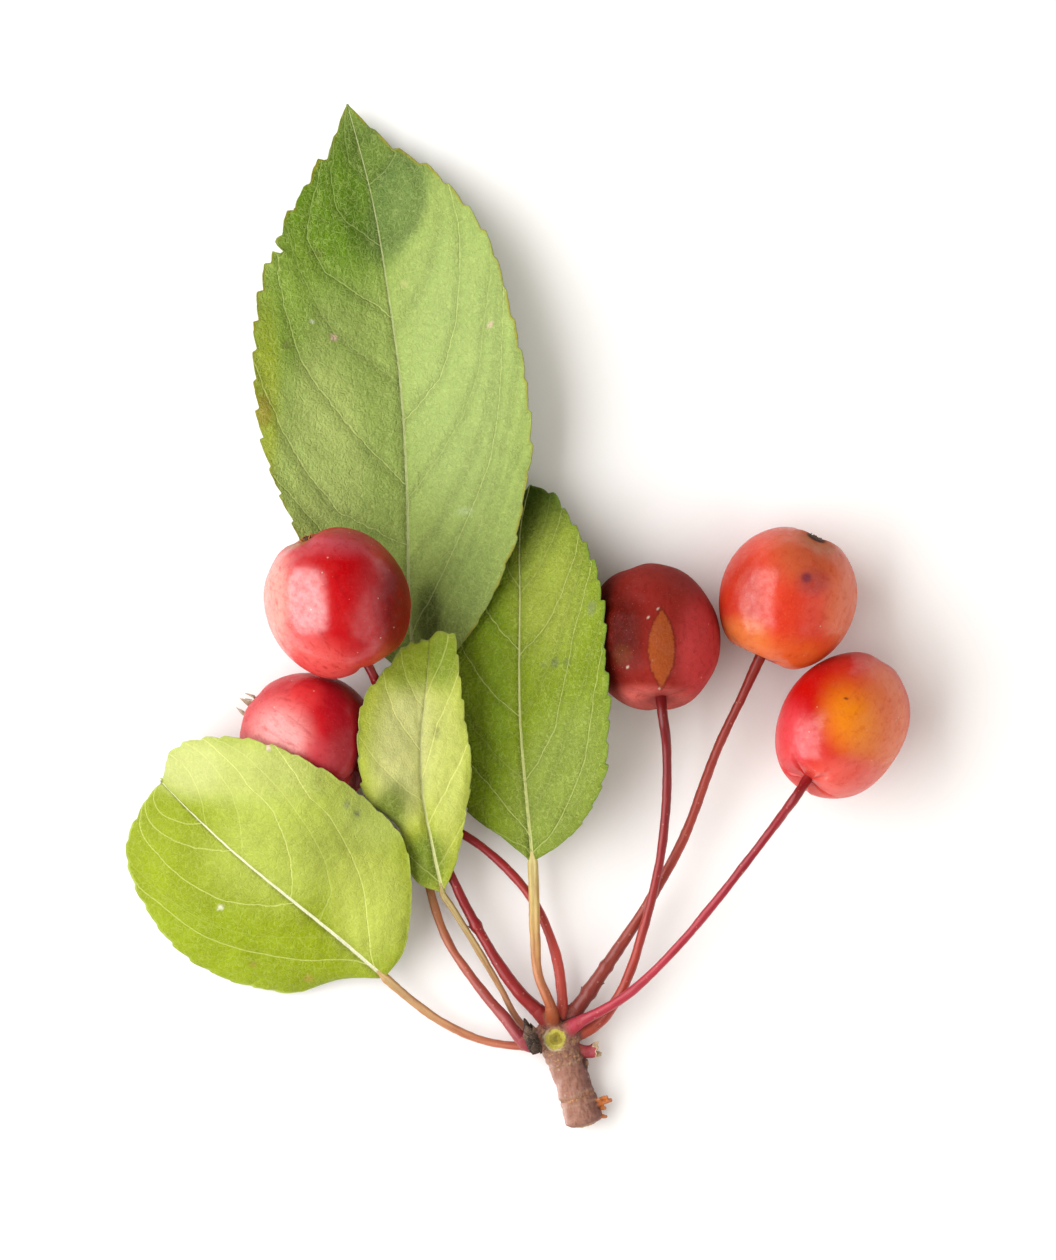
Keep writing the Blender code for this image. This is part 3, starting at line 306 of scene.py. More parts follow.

# Soft spots of colour on the blades and on the upper side of the fruits, each where one is seen from above:
# the skin's own colours, and painted light, shade, highlights and reflections where marked. Each gives its
# middle, its half sizes, its colour and strength, then its turn in degrees unless that is 0, and how wide
# its edge fades unless that is 1.
SPOTS = {
    "leaf_top": [
        # Painted light: saturated green where light shines through the lifted tip.
        (-29.3, 62.3, 8.2, 14, (102, 144, 0), 0.95, 15),
        # Painted shade: the dark part right of the tip, which turns away from the lamps.
        (-22.9, 69.8, 3.3, 9, (80, 120, 20), 0.5, 15),
        (-20.9, 70.6, 4.6, 6.2, (92, 118, 36), 0.85, 20, 0.5),
        (-18.2, 61.8, 4.2, 9, (92, 120, 52), 0.8, -18, 0.55),
        # Painted light: saturated green where light shines through near the left margin.
        (-34.9, 47.3, 4.5, 12, (122, 156, 34), 0.7, -10),
        # Painted light: the paler sheen of the right half, which faces the left lamp.
        (-8.6, 36, 9, 22, (166, 186, 112), 0.6),
        # Painted light: a yellow-green strip where light shines through the left margin.
        (-38, 32.3, 2.1, 14, (160, 172, 30), 0.7),
        (-24.6, 30.3, 7, 20, (134, 156, 76), 0.5, 10),
        (-28.6, 22.3, 6, 9, (176, 194, 112), 0.6, 10),
        # Painted shadow beside the midrib, on its left.
        (-24.4, 58.6, 1.8, 6, (70, 100, 20), 0.5, 10),
        # Painted shade where the blade turns down beside the first fruit.
        (-8.6, 3.8, 4.5, 7.5, (70, 112, 62), 0.18, -20),
        # Painted shadow at the blade's base, between the first fruit and the small leaf.
        (-13.3, 0, 1.8, 5, (48, 62, 0), 0.7),
        (-28.4, 32, 4, 7, (184, 202, 114), 0.65, 20),
        (-27.7, 41.8, 0.45, 0.6, (215, 180, 165), 0.9, 10, 0.5),
        (-3.8, 43.6, 0.53, 0.3, (225, 190, 175), 0.9, 0, 0.5),
        (-31.1, 44.2, 0.22, 0.22, (205, 215, 190), 0.9, 0, 0.5),
        (-7.7, 15.7, 1.3, 0.6, (190, 210, 150), 0.5, 0, 0.6),
        (-34.9, 40.6, 0.75, 0.6, (110, 110, 60), 0.5, 0, 0.6),
        (-30.2, 54.5, 1.1, 0.75, (95, 105, 40), 0.5, 0, 0.7),
        (-38.3, 30.8, 1.2, 2.4, (150, 110, 40), 0.5, 0, 0.8),
        (-16.9, 49.9, 0.6, 0.45, (200, 200, 130), 0.6, 0, 0.6),
    ],
    "leaf_middle": [
        # Painted shadow of the top leaf on this blade's top end.
        (3.4, 16.6, 4.5, 6, (66, 92, 0), 0.95, -20),
        # Painted shade over the left half, in the small leaf's shadow.
        (-4.4, -12.7, 3.6, 21, (122, 154, 6), 0.5),
        # Painted light on the right half, which faces the left lamp.
        (5.1, 4.3, 5.2, 11, (164, 178, 66), 0.7),
        (6.4, -24.7, 6, 12, (146, 164, 76), 0.6, -20),
        (5.8, -7.1, 0.6, 0.75, (105, 120, 75), 0.7, 0, 0.7),
        (7.6, -7, 0.6, 0.6, (115, 130, 75), 0.5, 0, 0.7),
        (4.1, -7.4, 0.45, 0.45, (115, 130, 75), 0.4, 0, 0.7),
        (11.3, 1.1, 0.6, 1.1, (120, 130, 90), 0.6, 0, 0.7),
    ],
    "leaf_small": [
        # The pale whitish left half: partly the hairy skin's own paleness, partly a painted sheen.
        (-16.6, -19.4, 5, 10, (240, 242, 164), 0.85, -5),
        # Painted light on the right half, which faces the left lamp.
        (-10.6, -21.7, 3, 12, (208, 216, 116), 0.8),
        # Painted shade on the tip, which turns down.
        (-15.4, -6.4, 5.7, 4.4, (154, 176, 34), 0.85, 20),
        (-10.9, -6.7, 2.1, 4.5, (125, 155, 40), 0.6),
        # Painted shadow of the leaf on the left, cast on this blade's lower left part.
        (-13.9, -36.7, 3.3, 4.2, (92, 120, 18), 0.8),
        (-19.9, -30.7, 2.7, 6, (96, 120, 0), 0.85, -20),
        (-12.1, -17.6, 0.45, 0.9, (150, 150, 90), 0.5, 0, 0.7),
        (-14, -3.2, 0.75, 0.45, (190, 190, 160), 0.5, 0, 0.7),
    ],
    "leaf_left": [
        # Painted light: the pale sheen on the raised upper half and the tip, which face the lamps.
        (-41.6, -23.2, 14, 4.8, (192, 200, 112), 0.8, -5),
        (-49.1, -22.4, 4.8, 4.2, (196, 202, 126), 0.7),
        (-34.6, -34.2, 11, 9, (180, 194, 84), 0.75, 20),
        (-22.1, -42.7, 5.7, 9, (196, 208, 96), 0.7),
        (-21.6, -29.4, 5.5, 5.2, (188, 204, 100), 0.75, -40),
        (-40.1, -50.2, 16, 5.7, (144, 163, 0), 0.7, -20),
        (-24.1, -29.5, 0.53, 0.45, (120, 130, 90), 0.9, 0, 0.5),
        (-25.6, -28.1, 0.53, 0.45, (150, 160, 110), 0.7, 0, 0.5),
        (-39.7, -52.3, 0.6, 0.45, (150, 140, 40), 0.7, 0, 0.6),
        (-31.4, -54.4, 0.75, 0.6, (175, 150, 60), 0.6, 0, 0.6),
        (-32.6, -46, 0.6, 0.45, (140, 150, 40), 0.6, 0, 0.6),
        (-44.5, -43.7, 0.45, 0.38, (235, 235, 210), 0.9, 0, 0.4),
        (-37.1, -19.7, 0.38, 0.38, (230, 200, 200), 0.9, 0, 0.4),
    ],
    "fruit_1": [
        (-27, 3.8, 5.2, 9, (200, 0, 10), 0.9),
        # Painted highlight where the left lamp is reflected, with some waxy bloom.
        (-31.6, 1.8, 3, 5.2, (250, 112, 112), 0.55, 8, 0.8),
        # Painted reflection of the right lamp.
        (-20.4, 4.4, 3.6, 5.4, (186, 60, 66), 0.4),
        (-31.1, -7.4, 7.5, 4.2, (246, 96, 90), 0.85, -20),
        # Painted reflection: the pale pink left rim.
        (-37, 2.3, 3, 9, (252, 156, 138), 0.8),
        # Painted shade and dark reflection: the dark right rim.
        (-17.2, 1.3, 3.3, 9, (104, 12, 8), 0.8),
        # Painted reflection: the pinkish top.
        (-25.9, 12.1, 7.5, 3, (204, 84, 96), 0.75),
        (-32.6, 11.3, 2.5, 0.9, (175, 120, 60), 0.8, 28, 0.6),
    ],
    "fruit_2": [
        (-32.6, -12.7, 3.3, 2.1, (240, 64, 66), 0.75, 20),
        # Painted shade on the right side.
        (-25.1, -12.7, 3.6, 5.1, (160, 20, 40), 0.5),
        (-25.6, -20.8, 3.6, 4.6, (156, 30, 40), 0.7),
        # Painted light on the lobe below the stalk's pit.
        (-24.4, -24.7, 2.4, 2.1, (215, 80, 80), 0.5),
        # Painted highlight on the left side.
        (-35.6, -18, 4.5, 4.8, (253, 166, 162), 0.85),
        (-29.8, -21.5, 2.4, 3, (214, 84, 92), 0.5),
    ],
    "fruit_3": [
        # Painted shade: the dark left side under the middle leaf's margin, with that leaf's dark reflection.
        (13.8, -2.7, 4.9, 7.9, (80, 14, 2), 0.95),
        (27.6, -5.2, 3.4, 8, (220, 76, 76), 0.9),
        # Painted reflection of the middle leaf's green in the dark left side.
        (15.7, -5.9, 1.3, 1.5, (110, 66, 16), 0.4),
        (19.2, -13, 6.9, 2.2, (246, 122, 112), 0.85),
        *[(x, y, 0.17, 0.17, (235, 225, 200), 0.9, 0, 0.5) for x, y in PALE_DOTS],
    ],
    "fruit_4": [
        (33.1, 2.3, 3.6, 7.5, (186, 40, 22), 0.75),
        (34.1, -3.7, 4.5, 3, (238, 140, 70), 0.7, -20),
        (40.9, -6.4, 5.4, 3, (244, 116, 48), 0.8),
        (43.6, 9.3, 5.7, 4.8, (216, 108, 66), 0.75),
        (49.1, 0.8, 3.2, 7.5, (246, 124, 76), 0.85),
        (40.9, -0.7, 3.3, 4.8, (222, 50, 22), 0.5),
        (44.2, 5, 2.4, 1.9, (165, 50, 60), 0.5),
        (43.1, 5.6, 0.75, 0.75, (120, 30, 60), 0.8),
        (44.9, 11, 2.8, 1.5, (186, 116, 66), 0.6, -25),
        # Painted shade: the dark slit of the eye.
        (44.7, 11.6, 1.5, 0.5, (44, 24, 4), 1, -25, 0.4),
    ],
    "fruit_5": [
        (55.1, -15.7, 4.4, 9.1, (255, 138, 84), 0.85),
        (43.9, -11.2, 4.5, 4.8, (205, 0, 2), 0.95, 30),
        (49.8, -15.6, 3.6, 5, (255, 146, 8), 0.95, 20, 1.4),
        (40.6, -18.4, 3.2, 5.2, (236, 84, 96), 0.6),
        (49.1, -24.7, 6, 3.2, (255, 112, 98), 0.8),
        (49, -12.4, 0.22, 0.22, (60, 30, 20), 0.9, 0, 0.5),
    ],
}

# Dry sepals in the eye of each fruit, with withered threads between them: how long the sepals are, and their
# colour.
SEPALS = 5
SEPAL_THREADS = 9
SEPAL_LOOKS = {
    "fruit_1": (0.6, (196, 132, 70)),
    "fruit_2": (3.1, (206, 186, 160)),
    "fruit_3": (0.9, (150, 112, 80)),
    "fruit_4": (0.5, (120, 84, 50)),
    "fruit_5": (1.0, (150, 112, 80)),
}

# Stalks from the crown of the spur outwards. A fruit stalk ends in its fruit's pit, and a leaf stalk at its
# blade. Each starts inside its collar and runs on a little into its fruit or blade.
STALK_END_GAP = 0.45
BLADE_GAP = 0.3
COLLAR_LENGTH = 4.6
COLLAR_SWELL = 1.12
COLLAR_STOPS = (0, 0.7, 0.92, 1)
COLLAR_GIRTHS = (COLLAR_SWELL * 1.12, COLLAR_SWELL, 1.06, 0.96)
STALK_START_INSIDE = 0.9
STALK_INTO_FRUIT = 0.5
STALK_INTO_BLADE = 1.6
STALK_RING_STEP = 0.35
STALK_SIDES = 24
KNOT_HEIGHT = 0.2
KNOT_WIDTH = 0.7
RADIUS_SHARES = (0.0, 0.1, 0.3, 0.8, 1.0)

STALKS = {
    "fruit_1_stalk": {
        "points": [
            (5.6, -62.2, 3.2), (4.1, -60.4, 4.2), (-0.1, -56.2, 5.4), (-4.1, -50.2, 6),
            (-7.9, -43.4, 6.2), (-13.1, -31.9, 7.7), (-17.6, -19.4, 10.8), (-20.5, -11.5, 12.7),
        ],
        "straight": 1,
        "radii": (1.3, 1.0, 0.75, 0.65, 0.75),
        "knots": (0.31,),
    },
    "fruit_2_stalk": {
        "points": [
            (6.4, -62.9, 3), (6.7, -57.7, 4.4), (5.3, -49.4, 4.8), (1.4, -41.5, 4.8), (-5.6, -34.6, 4.6),
            (-14.2, -29.5, 5.7), (-18.4, -26.6, 9.4),
        ],
        "straight": 0.6,
        "radii": (1.05, 0.85, 0.7, 0.6, 0.7),
    },
    "fruit_3_stalk": {
        "points": [
            (7.9, -63.4, 2.4), (12.4, -61, 3.4), (16.1, -55.4, 5.2), (19.1, -46.4, 7),
            (21.2, -37.4, 9), (22.3, -27.7, 11.4), (22.3, -19.4, 13.6),
        ],
        "straight": 2,
        "radii": (1.05, 0.85, 0.7, 0.7, 0.85),
    },
    "fruit_4_stalk": {
        "points": [
            (6.7, -62.2, 2.6), (9.4, -58.4, 4), (14.6, -50.9, 4.8), (19.9, -42.7, 5.6),
            (24.8, -33.7, 6.8), (29.9, -20.2, 8.8), (34.1, -11.2, 10),
        ],
        "straight": 1.5,
        "radii": (1.3, 1.1, 0.8, 0.7, 0.85),
        "knots": (0.11, 0.18),
    },
    "fruit_5_stalk": {
        "points": [
            (6.4, -62.8, 4.2), (9.4, -61, 5.6), (16.1, -57.2, 6.8), (22.9, -50.9, 7.8),
            (29.6, -43, 9.4), (37.9, -32.2, 12.8),
        ],
        "straight": 2,
        "radii": (1.15, 0.8, 0.65, 0.65, 0.8),
    },
    "leaf_top_stalk": {
        "points": [
            (4.1, -63.7, 4), (1.6, -64.3, 5.4), (-1.7, -60.7, 5.6), (-6.4, -55, 4.8),
            (-10.6, -48.7, 4), (-13.1, -41.5, 3.2), (-14.5, -32.2, 2.8), (-15.1, -20.9, 2.8),
        ],
        "radii": (1.3, 0.9, 0.65, 0.6, 0.7),
    },
    "leaf_middle_stalk": {
        "points": [
            (5.3, -62.2, 4), (5, -58.9, 6.6), (3.1, -53.9, 7.6), (2.6, -47.9, 7.4), (2.5, -42.7, 6.8),
        ],
        "radii": (1.0, 0.9, 0.7, 0.75, 0.7),
    },
    "leaf_small_stalk": {
        "points": [
            (4.1, -63.7, 3), (0.5, -61.3, 3.6), (-2.6, -55.9, 4.8), (-6.4, -49.4, 6.4),
            (-9.8, -43.9, 7.2),
        ],
        "radii": (0.8, 0.6, 0.5, 0.5, 0.5),
    },
    "leaf_left_stalk": {
        "points": [
            (4.9, -64.6, 2.5), (-0.4, -64.7, 2.4), (-5.6, -63.8, 2.3), (-11.6, -61, 2.6),
            (-16.1, -57.7, 3.4),
        ],
        "radii": (0.85, 0.7, 0.6, 0.6, 0.65),
    },
}

# The colours of each stalk at shares of its length.
STALK_LOOKS = {
    "fruit_1_stalk": ((0, (156, 46, 44)), (0.2, (160, 26, 28)), (0.6, (146, 8, 16)), (1, (154, 8, 16))),
    "fruit_2_stalk": ((0, (206, 84, 66)), (0.2, (208, 72, 58)), (0.5, (162, 26, 32)), (1, (140, 20, 28))),
    "fruit_3_stalk": ((0, (198, 88, 64)), (0.25, (182, 56, 38)), (0.55, (156, 20, 26)), (1, (118, 12, 14))),
    "fruit_4_stalk": ((0, (136, 54, 44)), (0.25, (158, 58, 42)), (0.55, (186, 66, 48)), (1, (146, 36, 30))),
    "fruit_5_stalk": ((0, (196, 60, 80)), (0.3, (200, 50, 70)), (0.7, (164, 20, 42)), (1, (152, 14, 20))),
    "leaf_top_stalk": (
        (0, (160, 50, 70)), (0.25, (180, 82, 66)), (0.5, (196, 130, 74)), (1, (222, 178, 96)),
    ),
    "leaf_middle_stalk": (
        (0, (154, 70, 44)), (0.12, (178, 86, 42)), (0.35, (204, 132, 84)), (0.7, (218, 182, 98)),
        (1, (224, 210, 122)),
    ),
    "leaf_small_stalk": ((0, (192, 120, 96)), (0.4, (192, 142, 94)), (1, (174, 150, 64))),
    "leaf_left_stalk": ((0, (186, 72, 68)), (0.25, (202, 118, 88)), (1, (208, 160, 92))),
}

# Withered bracts on the stalks: the stalk, the share of its length, the turn round it and how long it is.
BRACTS = (
    ("fruit_1_stalk", 0.31, 160, 1.2),
    ("fruit_4_stalk", 0.1, 150, 0.9),
    ("fruit_4_stalk", 0.14, -30, 0.8),
    ("fruit_5_stalk", 0.14, 90, 0.9),
)

# Spur: the twig from its cut end up to the crown, and its rings, each a share of the length and a height.
# The deepest ring is a girdling crack.
SPUR_POINTS = ((10.3, -76.8, 2.72), (8.9, -71.9, 2.8), (7.6, -67.9, 3.0), (6.1, -64.0, 3.2))
SPUR_RADII = (2.85, 2.75, 2.6, 2.7, 2.9)
CRACK_AT = 0.33
UPPER_RINGS_FROM = 0.7
SPUR_RINGS = ((0.27, 0.07), (CRACK_AT, -0.2), (0.37, 0.1), (0.74, 0.07), (0.83, 0.09), (0.91, 0.1))
SPUR_RING_WIDTH = 0.02
SPUR_END_ROUNDING = 0.085
TWIG_REACH = 3.4

# On the spur: its crown, the raised scar of a fallen stalk as rings of girth and height, splinters from
# foot to tip with their thickness, a small side bud, the dead bud, and the broken stalk.
CROWN_CENTRE = np.array((6.0, -63.2, 3.3))
CROWN_RADII = np.array((3.3, 2.9, 2.9))
SCAR_CENTRE = np.array((5.7, -63.6, 5.9))
SCAR_RADIUS = 1.5
SCAR_LEVELS = (
    (1.0, -2.0), (1.16, -0.9), (1.14, -0.2), (1.06, 0.1), (0.94, 0.2), (0.84, 0.04), (0.6, -0.04),
    (0.25, -0.1),
)
SLIVERS = (
    ((11.2, -73.6, 3.2), (14.2, -72.8, 3.9), 0.5),
    ((11.3, -73.2, 3.6), (13.6, -72.2, 4.1), 0.42),
    ((11.3, -73.9, 3.0), (13.4, -74.0, 3.3), 0.45),
    ((11.6, -75.2, 2.9), (13.5, -75.3, 3.1), 0.42),
)
SIDE_BUD = np.array((10.2, -67.3, 3.6))
SIDE_BUD_RADII = (0.5, 0.8, 0.5)
BUD_FOOT = np.array((2.9, -65.6, 7.8))
BUD_TIP = np.array((1.0, -60.4, 8.8))
BUD_RADIUS = 1.0
BUD_SCALES = 17
BUD_SCALE_TURN = 2.4
STUB_POINTS = ((8.2, -65.3, 2.9), (10.5, -65.6, 3.0), (11.2, -65.5, 3.4), (12.0, -65.2, 3.7))
STUB_RADII = (1.3, 1.0, 0.9, 0.95, 1.05)
STUB_SHARES = (0.0, 0.4, 0.65, 0.85, 1.0)

# Colours painted on the spur. Some are painted light and shade: a pale colour for the side towards the left
# lamp, shaded for the far side, crease for the hollows, ridge for the ridges, and lit_scar_rim for the side
# of the scar's rim towards the lamp.
SPUR_COLOURS = {
    "bark": (172, 122, 102), "painted_side_light": (236, 202, 194), "shaded": (124, 78, 78), "ring": (206, 168, 142),
    "crown": (150, 96, 86), "splinter": (212, 118, 42), "side_bud": (84, 54, 46), "crease": (62, 34, 28),
    "ridge": (226, 190, 168), "cut": (206, 160, 112), "scar_wood": (216, 206, 84),
    "scar_ring": (172, 156, 40), "scar_middle": (140, 132, 40), "scar_rim": (206, 160, 120),
    "lit_scar_rim": (240, 230, 176),
}

# Painted colours give back this share of the light, so that they read as written under the lamps.
LIT = 0.72

# Table, lamps and camera. Lengths are in metres, apart from the sensor's width in millimetres.
FILL_COLOUR = (1.0, 0.93, 0.84)
TOP_FILL_SHARE = 1.7
TABLE_HALF_WIDTH = 4.0
TABLE_HEIGHT = -0.00002
PICTURE_MIDDLE = (0.001775, -0.001075)
PICTURE_PLANE = 0.008
SENSOR_WIDTH = 36


def seen(colour):
    """Colours as the eye reads them, 0 to 255, as the shares of light that the surface gives back."""
    values = np.asarray(colour, float) / 255
    return np.where(values <= 0.04045, values / 12.92, ((values + 0.055) / 1.055) ** 2.4) * LIT


def paint(*colour):
    """A colour as the eye reads it, as plain numbers for a socket."""
    return tuple(float(v) for v in seen(colour))


def unit(vectors):
    """Vectors of length 1 with the same directions."""
    return vectors / np.maximum(np.linalg.norm(vectors, axis=-1, keepdims=True), 1e-9)


def smooth(values, low, high):
    """Runs softly from 0 at low to 1 at high."""
    t = np.clip((np.asarray(values, float) - low) / (high - low), 0, 1)
    return t * t * (3 - 2 * t)


def ripples(points, wavelength, seed, waves=9):
    """Smooth waves over points, mostly between -1 and 1, the same on each run."""
    rng = np.random.default_rng(seed)
    total = np.zeros(points.shape[:-1])
    for _ in range(waves):
        way = unit(rng.normal(size=3)) * TAU / (wavelength * rng.uniform(0.6, 1.5))
        total += np.sin(points @ way + rng.uniform(0, TAU))
    return total / math.sqrt(waves)


class Path:
    """The smooth curve through some points, read at shares of its length."""

    def __init__(self, points, steps=40):
        points = np.array(points, float)
        knots = np.vstack([2 * points[0] - points[1], points, 2 * points[-1] - points[-2]])
        t = (np.arange(steps) / steps)[:, None]
        dense = []
        for before, start, end, after in zip(knots, knots[1:], knots[2:], knots[3:]):
            parts = ((before, start), (start, end), (end, after))
            gaps = [math.sqrt(np.linalg.norm(b - a)) for a, b in parts]
            moves = [(start - before) / gaps[0], (end - start) / gaps[1], (after - end) / gaps[2]]
            leave = moves[0] + moves[1] - (end - before) / (gaps[0] + gaps[1])
            arrive = moves[1] + moves[2] - (after - start) / (gaps[1] + gaps[2])
            dense.append(
                start * (2 * t**3 - 3 * t**2 + 1)
                + leave * gaps[1] * (t**3 - 2 * t**2 + t)
                + end * (3 * t**2 - 2 * t**3)
                + arrive * gaps[1] * (t**3 - t**2)
            )
        self.dense = np.vstack([*dense, points[-1:]])
        reach = np.linalg.norm(np.diff(self.dense, axis=0), axis=1).cumsum()
        self.length = float(reach[-1])
        self.shares = np.concatenate([[0], reach / reach[-1]])

    def at(self, shares):
        """The points at shares of the length."""
        return np.stack([np.interp(shares, self.shares, self.dense[:, k]) for k in range(3)], axis=-1)

    def along(self, shares):
        """The direction of the curve at shares of its length."""
        shares = np.asarray(shares, float)
        return unit(self.at(np.minimum(shares + 0.01, 1)) - self.at(np.maximum(shares - 0.01, 0)))

    def nearest(self, points):
        """For each point, the share of the length that is nearest and how far off it is."""
        shares = np.linspace(0, 1, 160)
        on_it = self.at(shares)
        away = np.linalg.norm(points[:, None, :] - on_it[None], axis=2)
        best = away.argmin(axis=1)
        return shares[best], away[np.arange(len(points)), best]


def frames(path, shares):
    """Directions along a path and two across it, which turn with it and don't twist."""
    ahead = path.along(shares)
    across = np.zeros_like(ahead)
    side = np.cross(ahead[0], UP if abs(ahead[0][2]) < 0.9 else np.array((1.0, 0, 0)))
    for i, way in enumerate(ahead):
        side = unit(side - way * (side @ way))
        across[i] = side
    return ahead, across, np.cross(ahead, across)


def rings_round(path, shares, radii, sides):
    """Rings of points round a path, and the way each point faces. radii may differ from side to side."""
    _, across, other = frames(path, shares)
    turns = TAU * np.arange(sides) / sides
    cos, sin = np.cos(turns)[None, :, None], np.sin(turns)[None, :, None]
    facing = across[:, None] * cos + other[:, None] * sin
    radii = np.broadcast_to(np.asarray(radii, float).reshape(len(shares), -1), (len(shares), sides))
    return path.at(shares)[:, None] + facing * radii[..., None], facing


def tube(rings):
    """A closed shape from rings of points, with one more point in the middle of each end."""
    rows, sides = rings.shape[:2]
    index = np.arange(rows * sides).reshape(rows, sides)
    turned = np.roll(index, -1, axis=1)
    quads = np.stack([index[:-1], turned[:-1], turned[1:], index[1:]], -1).reshape(-1, 4)
    first = np.stack([turned[0], index[0], np.full(sides, rows * sides)], -1)
    last = np.stack([index[-1], turned[-1], np.full(sides, rows * sides + 1)], -1)
    points = np.vstack([rings.reshape(-1, 3), rings[0].mean(axis=0), rings[-1].mean(axis=0)])
    return points, [quads, np.vstack([first, last])]


def with_ends(values):
    """Values on the rings of a tube, with those of its two end points added."""
    joined = values.reshape(-1, *values.shape[2:])
    return np.concatenate([joined, values[:1].mean(axis=1), values[-1:].mean(axis=1)])


def shell(top, bottom):
    """A closed shape between two grids of points that have the same outline."""
    rows, columns = top.shape[:2]
    index = np.arange(rows * columns).reshape(rows, columns)
    quads = np.stack([index[:-1, :-1], index[:-1, 1:], index[1:, 1:], index[1:, :-1]], -1).reshape(-1, 4)
    rim = np.concatenate([index[0, :-1], index[:-1, -1], index[-1, :0:-1], index[:0:-1, 0]])
    ahead = np.roll(rim, -1)
    wall = np.stack([ahead, rim, rim + index.size, ahead + index.size], -1)
    points = np.vstack([top.reshape(-1, 3), bottom.reshape(-1, 3)])
    return points, [quads, quads[:, ::-1] + index.size, wall]


def strip(points, width, thick, facing, cup=0.0, widest=0.3, blunt=1.5, rows=14, columns=7):
    """A thin pointed scale along a path, hollowed across where cup is above zero."""
    path = Path(points)
    shares = np.linspace(0, 1, rows)
    ahead = path.along(shares)
    sideways = unit(np.cross(ahead, facing))
    face = np.cross(sideways, ahead)
    before = 0.7 + 0.3 * shares / widest
    after = 1 - (np.clip(shares - widest, 0, None) / (1 - widest)) ** blunt
    half = width / 2 * np.where(shares < widest, before, np.maximum(after, 0.04))
    t = np.linspace(-1, 1, columns)
    middle = path.at(shares)[:, None] + (sideways * half[:, None])[:, None] * t[None, :, None]
    middle = middle + (face * (cup * half)[:, None])[:, None] * (t**2)[None, :, None]
    depth = thick / 2 * (1 - 0.6 * t**2)[None, :, None] * face[:, None]
    return shell(middle + depth, middle - depth)


def volume(points, faces):
    """Six times the volume inside faces, below zero where they face inwards."""
    points = points - points.mean(axis=0)
    total = 0.0
    for group in faces:
        for k in range(1, group.shape[1] - 1):
            a, b, c = points[group[:, 0]], points[group[:, k]], points[group[:, k + 1]]
            total += np.einsum("ij,ij->", a, np.cross(b, c))
    return total


class Pile:
    """The points, faces and painted values of one piece, gathered shape by shape."""

    def __init__(self):
        self.points, self.faces, self.tints, self.values, self.count = [], [], [], {}, 0

    def add(self, shape, tint, **values):
        """Adds a closed shape, turned to face outwards, with one tint and value or one for each point."""
        points, faces = shape
        turn = -1 if volume(points, faces) < 0 else 1
        self.points.append(points)
        self.faces += [group[:, ::turn] + self.count for group in faces]
        self.count += len(points)
        tint = np.asarray(tint, float)
        if tint.shape[-1] == 3:
            tint = np.concatenate([tint, np.ones((*tint.shape[:-1], 1))], axis=-1)
        self.tints.append(np.broadcast_to(tint, (len(points), 4)))
        for name, value in values.items():
            value = np.asarray(value, float)
            value = np.broadcast_to(value, (len(points), *value.shape[1:]))
            self.values.setdefault(name, []).append(value)


def linked(name, data):
    """A new object with its data, in the scene."""
    made = bpy.data.objects.new(name, data)
    bpy.context.scene.collection.objects.link(made)
    return made


def add_piece(name, pile, material, slot, *nodes):
    """Makes a piece of the sprig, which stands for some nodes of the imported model."""
    if not pile.count:
        raise RuntimeError(f"{name} has no shape")
    mesh = bpy.data.meshes.new(name)
    points = (np.vstack(pile.points) + SHIFT) * MM
    mesh.from_pydata(points.tolist(), [], [face for group in pile.faces for face in group.tolist()])
    tints = np.vstack(pile.tints).ravel()
    mesh.attributes.new("Tint", "FLOAT_COLOR", "POINT").data.foreach_set("color", tints)
    for key, parts in pile.values.items():
        joined = np.concatenate(parts)
        kind, field = ("FLOAT_VECTOR", "vector") if joined.ndim == 2 else ("FLOAT", "value")
        mesh.attributes.new(key, kind, "POINT").data.foreach_set(field, joined.ravel())
    mesh.materials.append(material)
    mesh.shade_smooth()
    mesh.set_sharp_from_angle(angle=math.radians(60))
    made = linked(name, mesh)
    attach(made, "root")
    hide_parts(*nodes)


def spot_share(points, x, y, half_x, half_y, turn=0, edge=1):
    """How much of one soft spot, given in plan, each point gets."""
    a = math.radians(turn)
    dx, dy = points[..., 0] - x, points[..., 1] - y
    across = (dx * math.cos(a) + dy * math.sin(a)) / half_x
    along = (dy * math.cos(a) - dx * math.sin(a)) / half_y
    return smooth(np.hypot(across, along), 1 + edge / 2, 1 - edge / 2)


def spotted(tints, points, spots, weight=1.0):
    """Paints soft spots, given in plan, over the tints of points."""
    for x, y, half_x, half_y, colour, strength, *turn_and_edge in spots:
        share = spot_share(points, x, y, half_x, half_y, *turn_and_edge) * strength * weight
        tints[..., :3] += (seen(colour) - tints[..., :3]) * share[..., None]


